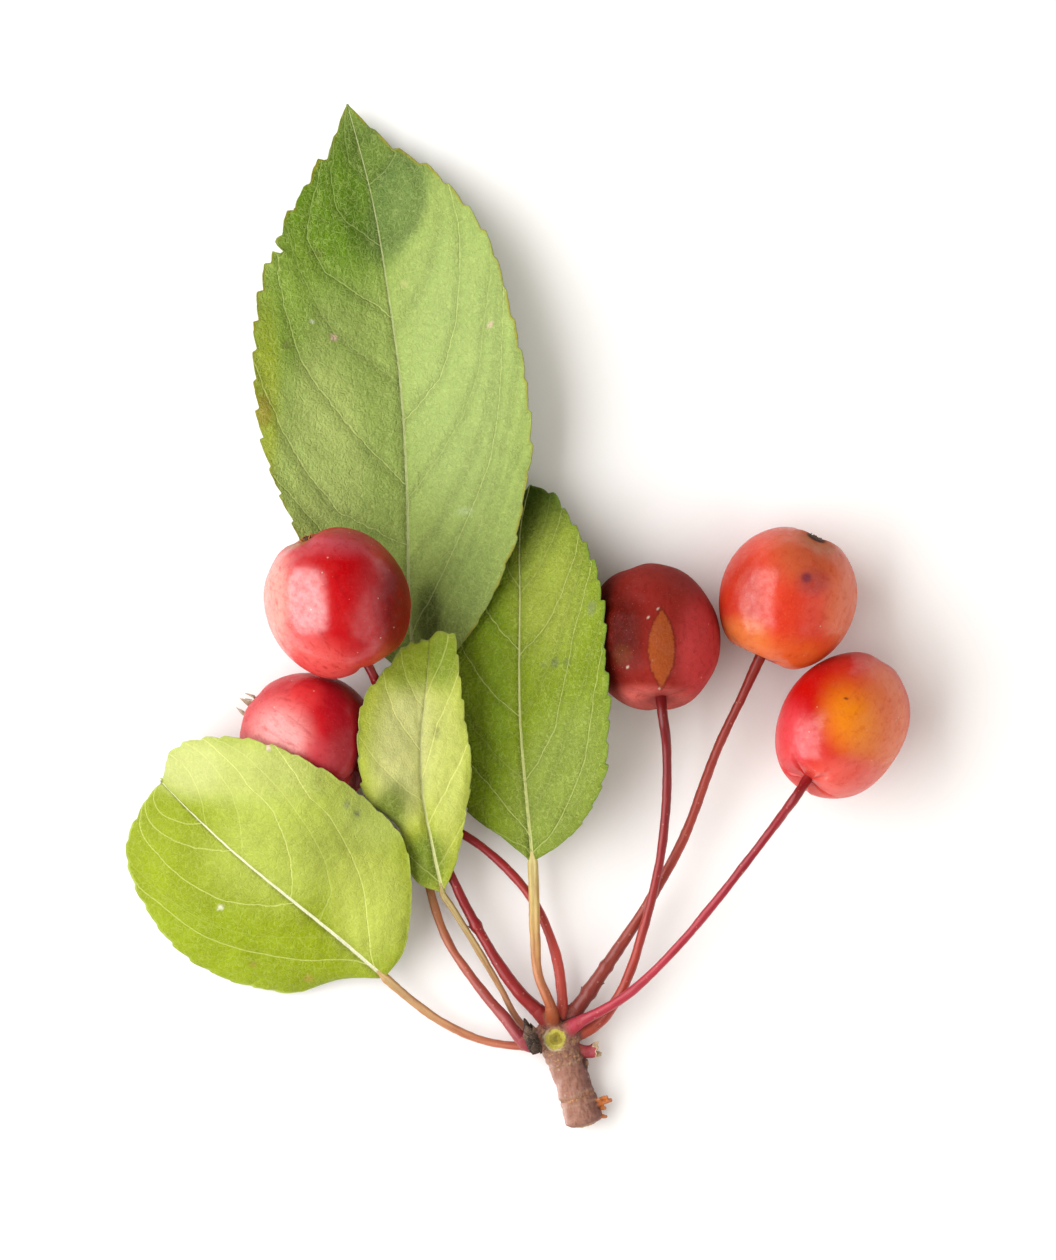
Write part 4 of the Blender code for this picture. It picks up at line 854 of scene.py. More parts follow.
class Finish:
    """Builds the nodes of one material. Values are numbers, colours or the outputs of other nodes."""

    def __init__(self, name):
        self.material = bpy.data.materials.new(name)
        self.material.use_nodes = True
        self.tree = self.material.node_tree
        self.shader = self.tree.nodes["Principled BSDF"]

    def feed(self, socket, value):
        """Links or writes a value into a socket."""
        if isinstance(value, bpy.types.NodeSocket):
            self.tree.links.new(value, socket)
        elif socket.type == "RGBA":
            socket.default_value = (*value[:3], 1)
        else:
            socket.default_value = value

    def set(self, **values):
        """Feeds the shader's own inputs, named with underscores for spaces."""
        for name, value in values.items():
            self.feed(self.shader.inputs[name.replace("_", " ")], value)

    def node(self, kind, inputs, **settings):
        """Adds a shader node, feeds its inputs and sets its own fields."""
        made = self.tree.nodes.new("ShaderNode" + kind)
        for key, value in settings.items():
            setattr(made, key, value)
        for key, value in inputs.items():
            self.feed(made.inputs[key], value)
        return made

    def math(self, operation, *values):
        return self.node("Math", dict(enumerate(values)), operation=operation).outputs[0]

    def times(self, *values):
        return reduce(partial(self.math, "MULTIPLY"), values)

    def plus(self, *values):
        return reduce(partial(self.math, "ADD"), values)

    def step(self, value, low, high, start=0.0, end=1.0):
        """Runs softly from start where value is low to end where it is high."""
        inputs = {0: value, 1: low, 2: high, 3: start, 4: end}
        return self.node("MapRange", inputs, interpolation_type="SMOOTHSTEP").outputs[0]

    def mix(self, share, a, b, blend="MIX"):
        """Colour a, with a share of colour b mixed in or multiplied by it."""
        return self.node("Mix", {0: share, 6: a, 7: b}, data_type="RGBA", blend_type=blend).outputs[2]

    def place(self):
        """Where a point is, in millimetres."""
        where = self.node("TexCoord", {}).outputs["Object"]
        return self.node("VectorMath", {0: where, 1: (1000, 1000, 1000)}, operation="MULTIPLY").outputs[0]

    def read(self, name, output="Fac"):
        """What was painted on the points under a name."""
        return self.node("Attribute", {}, attribute_name=name).outputs[output]

    def noise(self, vector, scale, detail=3.0, roughness=0.5):
        inputs = {"Vector": vector, "Scale": scale, "Detail": detail, "Roughness": roughness}
        return self.node("TexNoise", inputs).outputs[0]

    def cells(self, vector, scale, feature="F1"):
        return self.node("TexVoronoi", {"Vector": vector, "Scale": scale}, feature=feature)

    def relief(self, height):
        """Bumps by a height in millimetres."""
        self.set(Normal=self.node("Bump", {"Strength": 1.0, "Distance": MM, "Height": height}).outputs[0])


# Building the leaf blades.


def saw(shares, teeth, sizes, peak=TOOTH_PEAK):
    """Teeth along a margin: each swells outwards and drops back just before the next, nearer the tip."""
    phase = shares * teeth
    index = np.floor(phase).astype(int)
    part = phase - index
    rise = 1 - np.clip(1 - part / peak, 0, 1) ** 1.7
    drop = np.clip((1 - part) / (1 - peak), 0, 1)
    return np.where(part < peak, rise, drop) * sizes[index % len(sizes)]


def margin_offset(leaf, look, side, margin, shares, seed):
    """How far each point of a margin stands out, and how far it leans towards the tip."""
    rng = np.random.default_rng(seed + side)
    sizes = rng.uniform(*TOOTH_SIZES, leaf["teeth"] + 3)
    fade = np.clip(np.minimum(shares / TEETH_GROW_BY, (1 - shares) / TEETH_SHRINK_OVER), 0.15, 1)
    big = saw(shares, leaf["teeth"], sizes)
    uneven = shares + 0.004 * np.sin(shares * 70)
    small = saw(uneven, leaf["teeth"] * 2.0, rng.uniform(*SMALL_TOOTH_SIZES, 97))
    depth = look["teeth_out"][side] * fade
    out = depth * (big - 0.62 + SMALL_TOOTH_SHARE * (small - 0.4))
    for bitten, near, half, bite in look["bites"]:
        if bitten == side:
            at = margin.nearest(np.array([(*near, margin.at(0.5)[2])]))[0][0]
            out = out - bite * np.sqrt(np.clip(1 - ((shares - at) * margin.length / half) ** 2, 0, None))
    return out, depth * TOOTH_LEAN * big


def blade_sheet(leaf, look, shares, across, seed):
    """Points midway through a blade, as rows and columns, and how far the margin is from the midrib."""
    base, *_, tip = leaf["midrib"]
    outlines = (leaf["midrib"], [base, *leaf["left"], tip], [base, *leaf["right"], tip])
    midrib, *margins = (Path(points) for points in outlines)
    reach = 1 + leaf["sweep"]
    rib_shares = (reach - np.sqrt(reach**2 - 4 * leaf["sweep"] * shares)) / (2 * leaf["sweep"])
    rib, ahead = midrib.at(rib_shares), midrib.along(rib_shares)
    fade = np.clip(np.minimum(shares / TEETH_GROW_BY, (1 - shares) / TEETH_SHRINK_OVER), 0, 1)[:, None]
    sheet = np.zeros((len(shares), len(across), 3))
    half_width = np.zeros(sheet.shape[:2])
    for side, margin in enumerate(margins):
        columns = across > 0 if side else across <= 0
        width = np.abs(across[columns])[None, :]
        edge = margin.at(shares)
        out = (edge - rib) * (1, 1, 0)
        sideways = unit(np.stack([ahead[:, 1], -ahead[:, 0], 0 * ahead[:, 0]], -1)) * (1 if side else -1)
        narrow = np.linalg.norm(out, axis=1, keepdims=True) < TIP_HALF_WIDTH / 2
        out = np.where(narrow, sideways * TIP_HALF_WIDTH / 2, out)
        stand, lean = margin_offset(leaf, look, side, margin, shares, seed)
        teeth = unit(out) * stand[:, None] + ahead * lean[:, None]
        rise = (edge[:, 2] - rib[:, 2])[:, None] * width ** leaf["cup"][side]
        rise += leaf["arch"][side] * np.sin(np.pi * width) * np.sin(np.pi * shares)[:, None]
        wave = np.sin(TAU * RIPPLE_WAVES * shares + 2 * side)[:, None]
        rise += leaf["ripple"] * width**2 * wave * fade
        sheet[:, columns] = (
            rib[:, None] + out[:, None] * width[..., None] + teeth[:, None] * width[..., None] ** 10
        ) + UP * rise[..., None]
        half_width[:, columns] = np.linalg.norm(out, axis=1)[:, None]
    return sheet, half_width, rib_shares


def vein_lines(veins, shares, across):
    """A number that is whole on each side vein and counts up along one half of a blade, and its clearness.

    A few faint veins run on beyond each end of the list."""
    extra, count = 3, len(veins)
    at = np.zeros((count + 2 * extra, len(across)))
    for k, (_, points) in enumerate(veins):
        share, out = np.array(points, float).T
        slope = (share[-1] - share[-2]) / (out[-1] - out[-2])
        beyond = share[-1] + np.clip(slope, 0, 0.6) * (across - out[-1])
        at[k + extra] = np.where(across > out[-1], beyond, np.interp(across, out, share))
    for k in range(extra):
        at[extra - 1 - k] = at[extra - k] - 0.09
        at[count + extra + k] = at[count + extra - 1 + k] + 0.05
    for k in range(extra + 1, len(at)):
        at[k] = np.maximum(at[k], at[k - 1] + 0.02)
    numbers = np.arange(len(at))
    number = np.array([np.interp(shares, column, numbers) for column in at.T]).T
    clear = np.array([0.3, 0.3, 0.4, *[v[0] for v in veins], 0.5, 0.4, 0.3])
    return number, np.interp(number, numbers, clear)


def line_gap(number, sheet):
    """How many millimetres of the blade one step of the number takes."""
    by_row, by_column = np.gradient(sheet, axis=0), np.gradient(sheet, axis=1)
    step_row, step_column = np.gradient(number, axis=0), np.gradient(number, axis=1)
    e = (by_row**2).sum(-1)
    f = (by_row * by_column).sum(-1)
    g = (by_column**2).sum(-1)
    slope = g * step_row**2 - 2 * f * step_row * step_column + e * step_column**2
    slope = slope / np.maximum(e * g - f**2, 1e-9)
    return np.clip(1 / np.sqrt(np.maximum(slope, 1e-6)), 0.4, 12)


def leaf_finish(name, look, settings):
    """Skin of a blade: mottled green with a pale midrib, side veins, cross veins and a net of fine ones.

    Painted shade darkens it beside the midrib and the side veins, and in the hollows of its grain.
    """
    f = Finish(name)
    place, grit = f.place(), look["grit"]
    tint, clear = f.read("Tint", "Color"), f.read("Tint", "Alpha")
    under, rib, core = f.read("Under"), f.read("Rib"), f.read("Core")
    wander = f.times(f.plus(f.noise(place, 0.45, 2), -0.5), 0.12)
    vein = f.plus(f.read("Vein"), wander)
    side = f.times(f.math("PINGPONG", vein, 0.5), f.read("Gap"))
    clearness = f.read("Clear")
    side_line = f.times(f.step(side, 0.17, 0.04), clearness, clearness)
    lane = f.math("FLOOR", vein)
    start = f.node("TexWhiteNoise", {"W": lane}, noise_dimensions="1D").outputs["Value"]
    rung = f.plus(f.times(rib, 0.42), start, f.times(f.noise(place, 0.6, 2), 1.1))
    rung_line = f.step(f.math("PINGPONG", rung, 0.5), 0.06, 0.01)
    rung_line = f.times(rung_line, f.step(f.noise(place, 0.8), 0.38, 0.55))
    bent = f.node("TexNoise", {"Vector": place, "Scale": 0.9, "Detail": 2.0}).outputs["Color"]
    bent = f.node("VectorMath", {0: bent, 1: (1.5, 1.5, 1.5), 2: place}, operation="MULTIPLY_ADD")
    bent = bent.outputs[0]
    coarse = f.step(f.cells(bent, 0.95, "DISTANCE_TO_EDGE").outputs["Distance"], 0.08, 0.01)
    fine = f.step(f.cells(bent, 2.2, "DISTANCE_TO_EDGE").outputs["Distance"], 0.2, 0.02)
    pebble = f.cells(bent, 1.9).outputs["Distance"]
    rib_line = f.step(core, 1.15, 0.7)
    net = f.math("MAXIMUM", f.times(coarse, 0.9), f.times(fine, 0.35))
    small_lines = f.times(f.math("MAXIMUM", f.times(rung_line, 0.8), net), clear)
    lines = f.math("MAXIMUM", f.times(side_line, 0.85), small_lines)

    blotch, patch = f.noise(place, 0.16, 3, 0.6), f.noise(place, 0.9, 3, 0.65)
    grain = f.noise(place, 5.5, 3, 0.7)
    left_half = f.math("LESS_THAN", f.read("Vein"), RIGHT_VEINS_FROM - 2.0)
    # Painted shade beside the midrib, stronger on the left half.
    painted_rib_shade = f.times(f.step(core, 4.2, 1.4), f.plus(-0.1, f.times(left_half, -0.22)))
    # Painted shade beside the side veins.
    painted_vein_shade = f.step(side, 1.4, 0.25, 0, look["flank"])
    tone = f.plus(0.45, f.times(blotch, 0.5), f.times(patch, 0.3), f.times(grain, 0.34))
    # Adds the painted shade, and darkens the pebbled grain towards its cell edges as painted shade in its
    # hollows.
    tone = f.plus(tone, painted_vein_shade, painted_rib_shade, f.times(pebble, -0.2 * grit), 0.11 * grit)
    colour = f.mix(1.0, tint, tone, "MULTIPLY")
    colour = f.mix(f.step(patch, 0.5, 0.75, 0, 0.27 * grit), colour, settings.deep_tint, "MULTIPLY")
    pale = f.mix(0.5, paint(*look["vein"]), f.mix(1.0, tint, (1.6, 1.5, 1.3), "MULTIPLY"))
    colour = f.mix(lines, colour, pale)
    colour = f.mix(f.times(rib_line, look["rib_share"]), colour, paint(*look["rib"]))
    edge_line = f.times(f.step(f.read("Edge"), 0.5, 0.08), f.step(f.noise(place, 0.3), 0.3, 0.65))
    colour = f.mix(f.times(edge_line, 0.85), colour, paint(*look["margin"]))
    ridges = f.times(f.math("MAXIMUM", lines, rib_line), 0.6)
    below = f.mix(ridges, paint(*look["under"]), paint(*look["rib"]))
    below_tone = f.plus(0.75, f.times(grain, 0.3), f.times(patch, 0.2))
    below = f.mix(1.0, f.mix(0.35, below, tint), below_tone, "MULTIPLY")
    colour = f.mix(f.times(under, 0.92), colour, below)

    veins = f.plus(f.times(side_line, -0.1), f.times(rung_line, -0.05), f.times(net, -0.04))
    above = f.plus(f.times(pebble, -0.14), f.times(grain, 0.05), f.times(rib_line, -0.05))
    f.relief(f.times(f.plus(f.times(veins, f.plus(1.0, f.times(under, -2.0))), above), grit))
    rough = f.plus(settings.gloss, f.times(under, 0.25), f.times(patch, 0.14), f.times(lines, 0.08))
    f.set(Base_Color=colour, Roughness=rough, Specular_IOR_Level=settings.shine)
    f.set(Sheen_Weight=0.02, Sheen_Roughness=0.5)
    return f.material


def add_blade(name, settings):
    """A thin toothed blade, quilted between its veins, with a ridge under its midrib and side veins."""
    leaf, look = LEAVES[name], LEAF_LOOKS[name]
    seed = 10 * (1 + list(LEAVES).index(name))
    shares = np.linspace(0.0, 1.0, look["rows"])
    u = np.linspace(-1, 1, look["columns"])
    across = np.sign(u) * np.abs(u) ** 1.25
    sheet, half_width, rib_shares = blade_sheet(leaf, look, shares, across, seed)
    width = np.abs(across)[None, :]
    number, clear = np.zeros(sheet.shape[:2]), np.zeros(sheet.shape[:2])
    for side in (0, 1):
        columns = across > 0 if side else across <= 0
        lines = vein_lines(VEINS[name][side], shares, np.abs(across[columns]))
        number[:, columns], clear[:, columns] = lines[0] + RIGHT_VEINS_FROM * side, lines[1]
    middle = int(np.argmin(np.abs(across)))
    halves = (slice(0, middle + 1), slice(middle + 1, None))
    gap = np.hstack([line_gap(number[:, half], sheet[:, half]) for half in halves])
    rib = half_width * width
    thin = 1 - 0.75 * rib_shares[:, None]
    core = rib / (settings.rib_width * (0.35 + 0.65 * thin) / MM / 2)
    off_vein = np.abs(number - np.round(number)) * gap
    lengthwise = np.sin(np.pi * np.clip(shares, 0, 1))[:, None] ** 0.4
    open_part = smooth(width, 1.0, 0.8) * smooth(rib, 0.3, 1.8) * lengthwise
    held_down = np.exp(-((off_vein / 1.1) ** 2)) * (0.4 + 0.6 * clear)
    puff = look["relief"] * settings.relief * (1 - held_down) * open_part
    wave = 0.16 * ripples(sheet, 9, seed) * width + 0.04 * ripples(sheet, 2.2, seed + 1)

    by_row, by_column = np.gradient(sheet, axis=0), np.gradient(sheet, axis=1)
    normals = unit(np.cross(by_column, by_row))
    half = settings.thickness / MM / 2 * (1 - 0.55 * width**8)
    groove = 0.14 * np.exp(-(core**2)) * thin
    keel = settings.keel / MM * np.exp(-((core / 0.9) ** 2)) * (0.25 + 0.75 * thin)
    ridge = 0.12 * np.exp(-((off_vein / 0.3) ** 2)) * clear * smooth(width, 1.0, 0.75)
    top = sheet + normals * (half + puff + wave - groove)[..., None]
    bottom = sheet - normals * (half - puff - wave + keel + ridge)[..., None]
    bottom[..., 2] = np.maximum(bottom[..., 2], LOWEST_POINT)
    top[..., 2] = np.maximum(top[..., 2], bottom[..., 2] + THINNEST_BLADE)

    tint = np.zeros((*sheet.shape[:2], 4))
    tint[..., :3] = seen(look["colour"])
    tint[..., 3] = look["net"]
    spotted(tint, sheet, SPOTS[name])
    for x, y, half_x, half_y, amount in look.get("clear", ()):
        near = np.exp(-(((sheet[..., 0] - x) / half_x) ** 2) - ((sheet[..., 1] - y) / half_y) ** 2)
        tint[..., 3] += (amount - tint[..., 3]) * near
    values = {"Vein": number, "Gap": gap, "Clear": clear, "Rib": rib, "Core": core}
    values["Edge"] = half_width * (1 - width)
    values = {key: np.tile(grid.ravel(), 2) for key, grid in values.items()}
    under = np.repeat((0.0, 1.0), number.size)
    pile = Pile()
    pile.add(shell(top, bottom), np.tile(tint.reshape(-1, 4), (2, 1)), **values, Under=under)
    add_piece(f"{name}_blade", pile, leaf_finish(f"{name}_skin", look, settings), look["slot"], name)


# Building the fruits and the sepals in their eyes.


def fruit_axis(fruit):
    """The way from a fruit's centre to its stalk."""
    turn, rise = math.radians(fruit["turn"]), math.radians(fruit["rise"])
    return np.array((math.cos(turn) * math.cos(rise), math.sin(turn) * math.cos(rise), math.sin(rise)))


def fruit_profile(fruit, turn):
    """How far along the axis, and how far out, the skin is at a turn from 0 (stalk's pit) to pi (eye)."""
    along = fruit["half"] * np.cos(turn)
    along = along - STALK_PIT_DEPTH * np.exp(-((turn / STALK_PIT_WIDTH) ** 2))
    along = along + EYE_DEPTH * np.exp(-(((np.pi - turn) / EYE_WIDTH) ** 2))
    return along, fruit["radius"] * np.clip(np.sin(turn), 0, 1) ** FRUIT_FULLNESS


def laid(points, fruit):
    """Points round a fruit's own axis, moved to where the fruit lies."""
    lie = Vector((0, 0, 1)).rotation_difference(Vector(fruit_axis(fruit))).to_matrix()
    return points @ np.array(lie).T + np.array(fruit["centre"])


def fruit_finish(name, look, settings):
    """Waxed skin of a fruit: streaked and mottled red with pale dots, and dull cork where it is scarred.

    The stalk's pit is painted deeper red, as painted shade in that hollow.
    """
    f = Finish(name)
    place, tint = f.place(), f.read("Tint", "Color")
    streak, pit = f.read("Streak", "Vector"), f.read("Pit")
    deep, pale = paint(*look["deep"]), paint(*look["pale"])
    lines = f.noise(streak, 1.1, 5, 0.62)
    blush, mottle = f.noise(place, 0.2, 3, 0.6), f.noise(place, 0.9, 4, 0.65)
    speckle = f.noise(place, 2.6, 4, 0.7)
    colour = f.mix(f.step(lines, 0.5, 0.72, 0, look["streaks"]), tint, deep)
    colour = f.mix(f.step(lines, 0.46, 0.3, 0, 0.3 * look["streaks"]), colour, pale)
    colour = f.mix(f.step(blush, 0.5, 0.75, 0, 0.14), colour, pale)
    colour = f.mix(f.step(mottle, 0.5, 0.7, 0, 0.27), colour, deep)
    colour = f.mix(f.step(speckle, 0.52, 0.7, 0, 0.25), colour, pale)
    # Painted shade: deeper red in the hollow of the stalk's pit.
    colour = f.mix(f.times(pit, 0.6), colour, deep)
    spots = f.cells(place, 0.5)
    random = f.node("SeparateColor", {0: spots.outputs["Color"]}).outputs
    size = f.plus(0.02, f.times(random[0], 0.04))
    dot = f.step(f.math("SUBTRACT", spots.outputs["Distance"], size), 0.03, 0.0)
    dot = f.times(dot, f.step(random[1], 0.4, 0.6))
    colour = f.mix(f.times(dot, 0.6), colour, settings.dot_colour)
    specks = f.step(f.cells(place, 1.5).outputs["Distance"], 0.14, 0.05)
    colour = f.mix(f.times(specks, 0.2, f.step(blush, 0.4, 0.6)), colour, settings.dot_colour)
    ragged = f.plus(f.read("Russet"), f.times(f.plus(f.noise(place, 1.3, 4, 0.65), -0.5), 0.5))
    cork = f.step(ragged, 0.02, 0.2)
    rim = f.times(f.step(ragged, -0.1, 0.03), f.step(ragged, 0.2, 0.06))
    cork_colour = f.mix(f.noise(place, 2.4, 4, 0.7), paint(148, 62, 22), paint(200, 108, 56))
    colour = f.mix(f.times(cork, 0.88), colour, cork_colour)
    colour = f.mix(f.times(rim, 0.5), colour, paint(110, 40, 24))
    bloom = f.times(f.step(f.noise(place, 0.35, 4, 0.7), 0.45, 0.7), settings.bloom)
    colour = f.mix(bloom, colour, settings.bloom_colour)
    fine = f.noise(place, 6.0, 3, 0.6)
    height = f.plus(f.times(dot, 0.02), f.times(mottle, 0.09), f.times(speckle, 0.02))
    height = f.plus(height, f.times(fine, 0.008), f.times(cork, -0.04))
    f.relief(f.plus(height, f.times(f.noise(place, 3.4, 4, 0.7), cork, 0.14)))
    wax = settings.wax * look["wax"]
    rough = f.plus(settings.gloss, f.times(mottle, 0.12), f.times(cork, 0.3), f.times(bloom, 0.3))
    f.set(Base_Color=colour, Roughness=rough, Specular_IOR_Level=look["shine"])
    off_cork, patchy = f.step(cork, 0.0, 1.0, 1.0, 0.0), f.step(mottle, 0.35, 0.65, 1.15, 0.65)
    coat = f.times(wax, f.read("Wax"), off_cork, patchy)
    f.set(Coat_Weight=coat, Coat_Roughness=settings.wax_blur, Coat_IOR=settings.wax_ior)
    f.set(Subsurface_Weight=0.12, Subsurface_Radius=(1.0, 0.25, 0.12), Subsurface_Scale=0.0022)
    return f.material


def add_fruit(name, settings, rows=112, columns=192):
    """A round fruit with a creased pit at its stalk, a dimpled eye, and a flat spot where it lies."""
    fruit, look = FRUITS[name], FRUIT_LOOKS[name]
    seed = 100 * (1 + list(FRUITS).index(name))
    turns = np.pi * np.arange(1, rows) / rows
    around = TAU * np.arange(columns) / columns
    along, out = (grid[:, None] for grid in fruit_profile(fruit, turns))
    fold = np.clip(np.cos(look["creases"] * around + seed), 0, 1)[None] ** 5
    fold = fold * np.exp(-(((turns - 0.36) / 0.22) ** 2))[:, None]
    knobs = np.cos(5 * around + seed)[None] * np.exp(-(((np.pi - turns - 0.4) / 0.25) ** 2))[:, None]
    along = along - 0.4 * fold - 0.12 * knobs
    out = out * (1 - 0.03 * fold)
    rings = np.stack([out * np.cos(around), out * np.sin(around), along + 0 * around], -1)
    rings = rings + unit(rings) * settings.waviness / MM * ripples(rings, 11, seed)[..., None]
    points, faces = tube(rings)
    points[-2:] = [(0, 0, fruit_profile(fruit, t)[0]) for t in (0, np.pi)]
    turn_of = with_ends(turns[:, None] + 0 * around)
    turn_of[-2:] = 0, np.pi
    streak = points * (1, 1, 0.22)
    points = laid(points * look.get("grow", 1.0), fruit)
    points[:, 2] = np.maximum(points[:, 2], 0.0)
    facing_up = smooth((points - fruit["centre"])[:, 2] / fruit["radius"], -0.15, 0.3)
    tint = np.zeros((len(points), 3)) + seen(look["colour"])
    spotted(tint, points, SPOTS[name], facing_up)
    russet = np.full(len(points), -1.0)
    for x, y, half_x, half_y in look.get("scars", ()):
        inside = half_x * (1 - ((points[:, 1] - y) / half_y) ** 2) - np.abs(points[:, 0] - x)
        russet = np.where(facing_up > 0.5, np.clip(inside / half_x, -1, 1), russet)
    wax = np.ones(len(points))
    for x, y, half_x, half_y, turn, amount in look.get("dull", ()):
        wax -= wax * amount * spot_share(points, x, y, half_x, half_y, turn)
    pile = Pile()
    pit = np.exp(-((turn_of / 0.3) ** 2))
    pile.add((points, faces), tint, Streak=streak, Pit=pit, Russet=russet, Wax=wax)
    add_piece(f"{name}_skin", pile, fruit_finish(f"{name}_wax", look, settings), "fruit_skin", name)


def dry_finish(name):
    """Dry brown tissue with fibres and flakes."""
    f = Finish(name)
    place, tint = f.place(), f.read("Tint", "Color")
    patch, grain = f.noise(place, 1.6, 4, 0.65), f.noise(place, 6.0, 4, 0.7)
    colour = f.mix(f.step(patch, 0.45, 0.7, 0, 0.5), tint, (0.4, 0.3, 0.26), "MULTIPLY")
    colour = f.mix(f.step(grain, 0.5, 0.75, 0, 0.4), colour, paint(206, 184, 160))
    f.relief(f.plus(f.times(grain, 0.09), f.times(patch, 0.08)))
    f.set(Base_Color=colour, Roughness=f.plus(0.75, f.times(grain, 0.2)), Specular_IOR_Level=0.3)
    return f.material


def add_calyx(name, material):
    """Five dry curled sepals round the eye of a fruit, with the withered threads between them."""
    fruit = FRUITS[name]
    length, colour = SEPAL_LOOKS[name]
    rng = np.random.default_rng(7 + list(FRUITS).index(name))
    floor = fruit_profile(fruit, np.pi)[0]
    pile = Pile()
    cup = Path([(0, 0, floor + 0.5), (0, 0, floor - 0.1), (0, 0, floor - 0.35)])
    shares = np.linspace(0, 1, 10)
    rings, _ = rings_round(cup, shares, np.interp(shares, (0, 0.6, 1), (0.5, 0.8, 0.4)), 28)
    points, faces = tube(rings)
    points[-1] = (0, 0, floor - 0.1)
    pile.add((laid(points, fruit), faces), paint(96, 66, 44))
    spread, reach = (1.15, 0.75) if length < 1.5 else (0.6, 1.45)
    for i in range(SEPALS):
        a = TAU * i / SEPALS + rng.uniform(-0.15, 0.15)
        way = np.array((math.cos(a), math.sin(a), 0))
        long = length * rng.uniform(0.8, 1.05)
        curl = rng.uniform(0.4, 1.0)
        end = floor - 0.3 - reach * (0.5 + 0.2 * curl) * long
        line = [
            way * 0.5 + UP * (floor + 0.05),
            way * (0.62 + 0.3 * spread * long) + UP * (floor - 0.18 - 0.18 * long),
            way * (0.62 + 0.55 * spread * long) + UP * (floor - 0.25 - (0.3 + 0.15 * curl) * long),
            way * (0.62 + (0.7 - 0.3 * curl) * spread * long) + UP * end,
        ]
        points, faces = strip(line, 0.62 + 0.16 * length, 0.11, way, cup=0.5, widest=0.25)
        points = points + 0.05 * ripples(points, 0.8, i + 3)[:, None] * way
        shade = rng.uniform(0.85, 1.15)
        pile.add((laid(points, fruit), faces), seen(np.array(colour) * shade))
    for _ in range(SEPAL_THREADS):
        a, lean = rng.uniform(0, TAU), rng.uniform(0.05, 0.45)
        way = np.array((math.cos(a), math.sin(a), 0))
        line = [
            way * 0.1 + UP * (floor + 0.1),
            way * (0.15 + lean * 0.3) + UP * (floor - 0.3),
            way * lean + UP * (floor - 0.3 - 0.35 * length),
        ]
        rings, _ = rings_round(Path(line), np.linspace(0, 1, 7), np.linspace(0.06, 0.035, 7), 6)
        points, faces = tube(rings)
        pile.add((laid(points, fruit), faces), paint(92, 64, 44))
    add_piece(f"{name}_sepals", pile, material, "dry_sepal", name.replace("fruit", "calyx"))


# Building the stalks.


def stalk_path(name):
    """A stalk's curve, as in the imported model, with its fine end run on into the fruit or blade."""
    points = list(STALKS[name]["points"])
    owner = name.removesuffix("_stalk")
    if owner in FRUITS:
        fruit = FRUITS[owner]
        centre, axis, pit = np.array(fruit["centre"]), fruit_axis(fruit), fruit_profile(fruit, 0)[0]
        straight = fruit["half"] + STALKS[name]["straight"]
        points += [centre + axis * at for at in (straight, pit + STALK_END_GAP, pit - STALK_INTO_FRUIT)]
        return Path(points)
    midrib = Path(LEAVES[owner]["midrib"])
    points += [midrib.at(0) + midrib.along(0) * at for at in (-BLADE_GAP, STALK_INTO_BLADE)]
    return Path(points)


def stalk_radius(name, shares, length):
    """The radius of a stalk at shares of its length, with its knots."""
    radius = np.interp(shares, RADIUS_SHARES, STALKS[name]["radii"])
    for at in STALKS[name].get("knots", ()):
        radius = radius + KNOT_HEIGHT * np.exp(-(((shares - at) * length / KNOT_WIDTH) ** 2))
    return radius


def stalk_colour(name, shares):
    """The tint of a stalk at shares of its length."""
    stops = STALK_LOOKS[name]
    at = [share for share, _ in stops]
    return np.stack([np.interp(shares, at, [seen(c)[k] for _, c in stops]) for k in range(3)], -1)


def stalk_finish(name, settings):
    """Smooth skin of a stalk: finely streaked along it, with pale specks, and softly shining.

    Its underside is darkened as painted shade.
    """
    f = Finish(name)
    place, tint, along = f.place(), f.read("Tint", "Color"), f.read("Along", "Vector")
    lines, patch = f.noise(along, 1.2, 4, 0.65), f.noise(place, 0.6, 4, 0.65)
    colour = f.mix(f.step(lines, 0.45, 0.7, 0, 0.6), tint, settings.deep_colour, "MULTIPLY")
    colour = f.mix(f.step(lines, 0.42, 0.28, 0, 0.5), colour, settings.streak_colour)
    colour = f.mix(f.step(patch, 0.5, 0.75, 0, 0.3), colour, settings.deep_colour, "MULTIPLY")
    # Painted shade: the underside of each stalk is darkened.
    colour = f.mix(f.step(f.read("Top"), -0.3, 1.0, 0.2, 0.0), colour, settings.deep_colour, "MULTIPLY")
    dot = f.step(f.cells(place, 0.9).outputs["Distance"], 0.16, 0.08)
    colour = f.mix(f.times(dot, settings.specks), colour, settings.speck_colour)
    height = f.plus(f.times(lines, 0.06), f.times(patch, 0.05), f.times(dot, 0.03))
    f.relief(f.plus(height, f.times(f.noise(place, 5.0), 0.03)))
    rough = f.plus(settings.gloss, f.times(patch, 0.2))
    f.set(Base_Color=colour, Roughness=rough, Specular_IOR_Level=0.3, Coat_Weight=0.5, Coat_Roughness=0.3)
    return f.material


def add_bract(pile, name, path, share, turn, long):
    """A withered scale that clasps a stalk."""
    ahead, across, other = (v[0] for v in frames(path, np.array([share])))
    way = across * math.cos(math.radians(turn)) + other * math.sin(math.radians(turn))
    foot = path.at(share) + way * float(stalk_radius(name, share, path.length)) * 0.9
    line = [
        foot - ahead * 0.3,
        foot + way * 0.25 + ahead * 0.25 * long,
        foot + way * 0.5 * long + ahead * 0.6 * long,
    ]
    points, faces = strip(line, 0.55, 0.16, way, cup=-0.3)
    pile.add((points, faces), paint(120, 60, 46), Along=points * 0.5, Top=0.5)


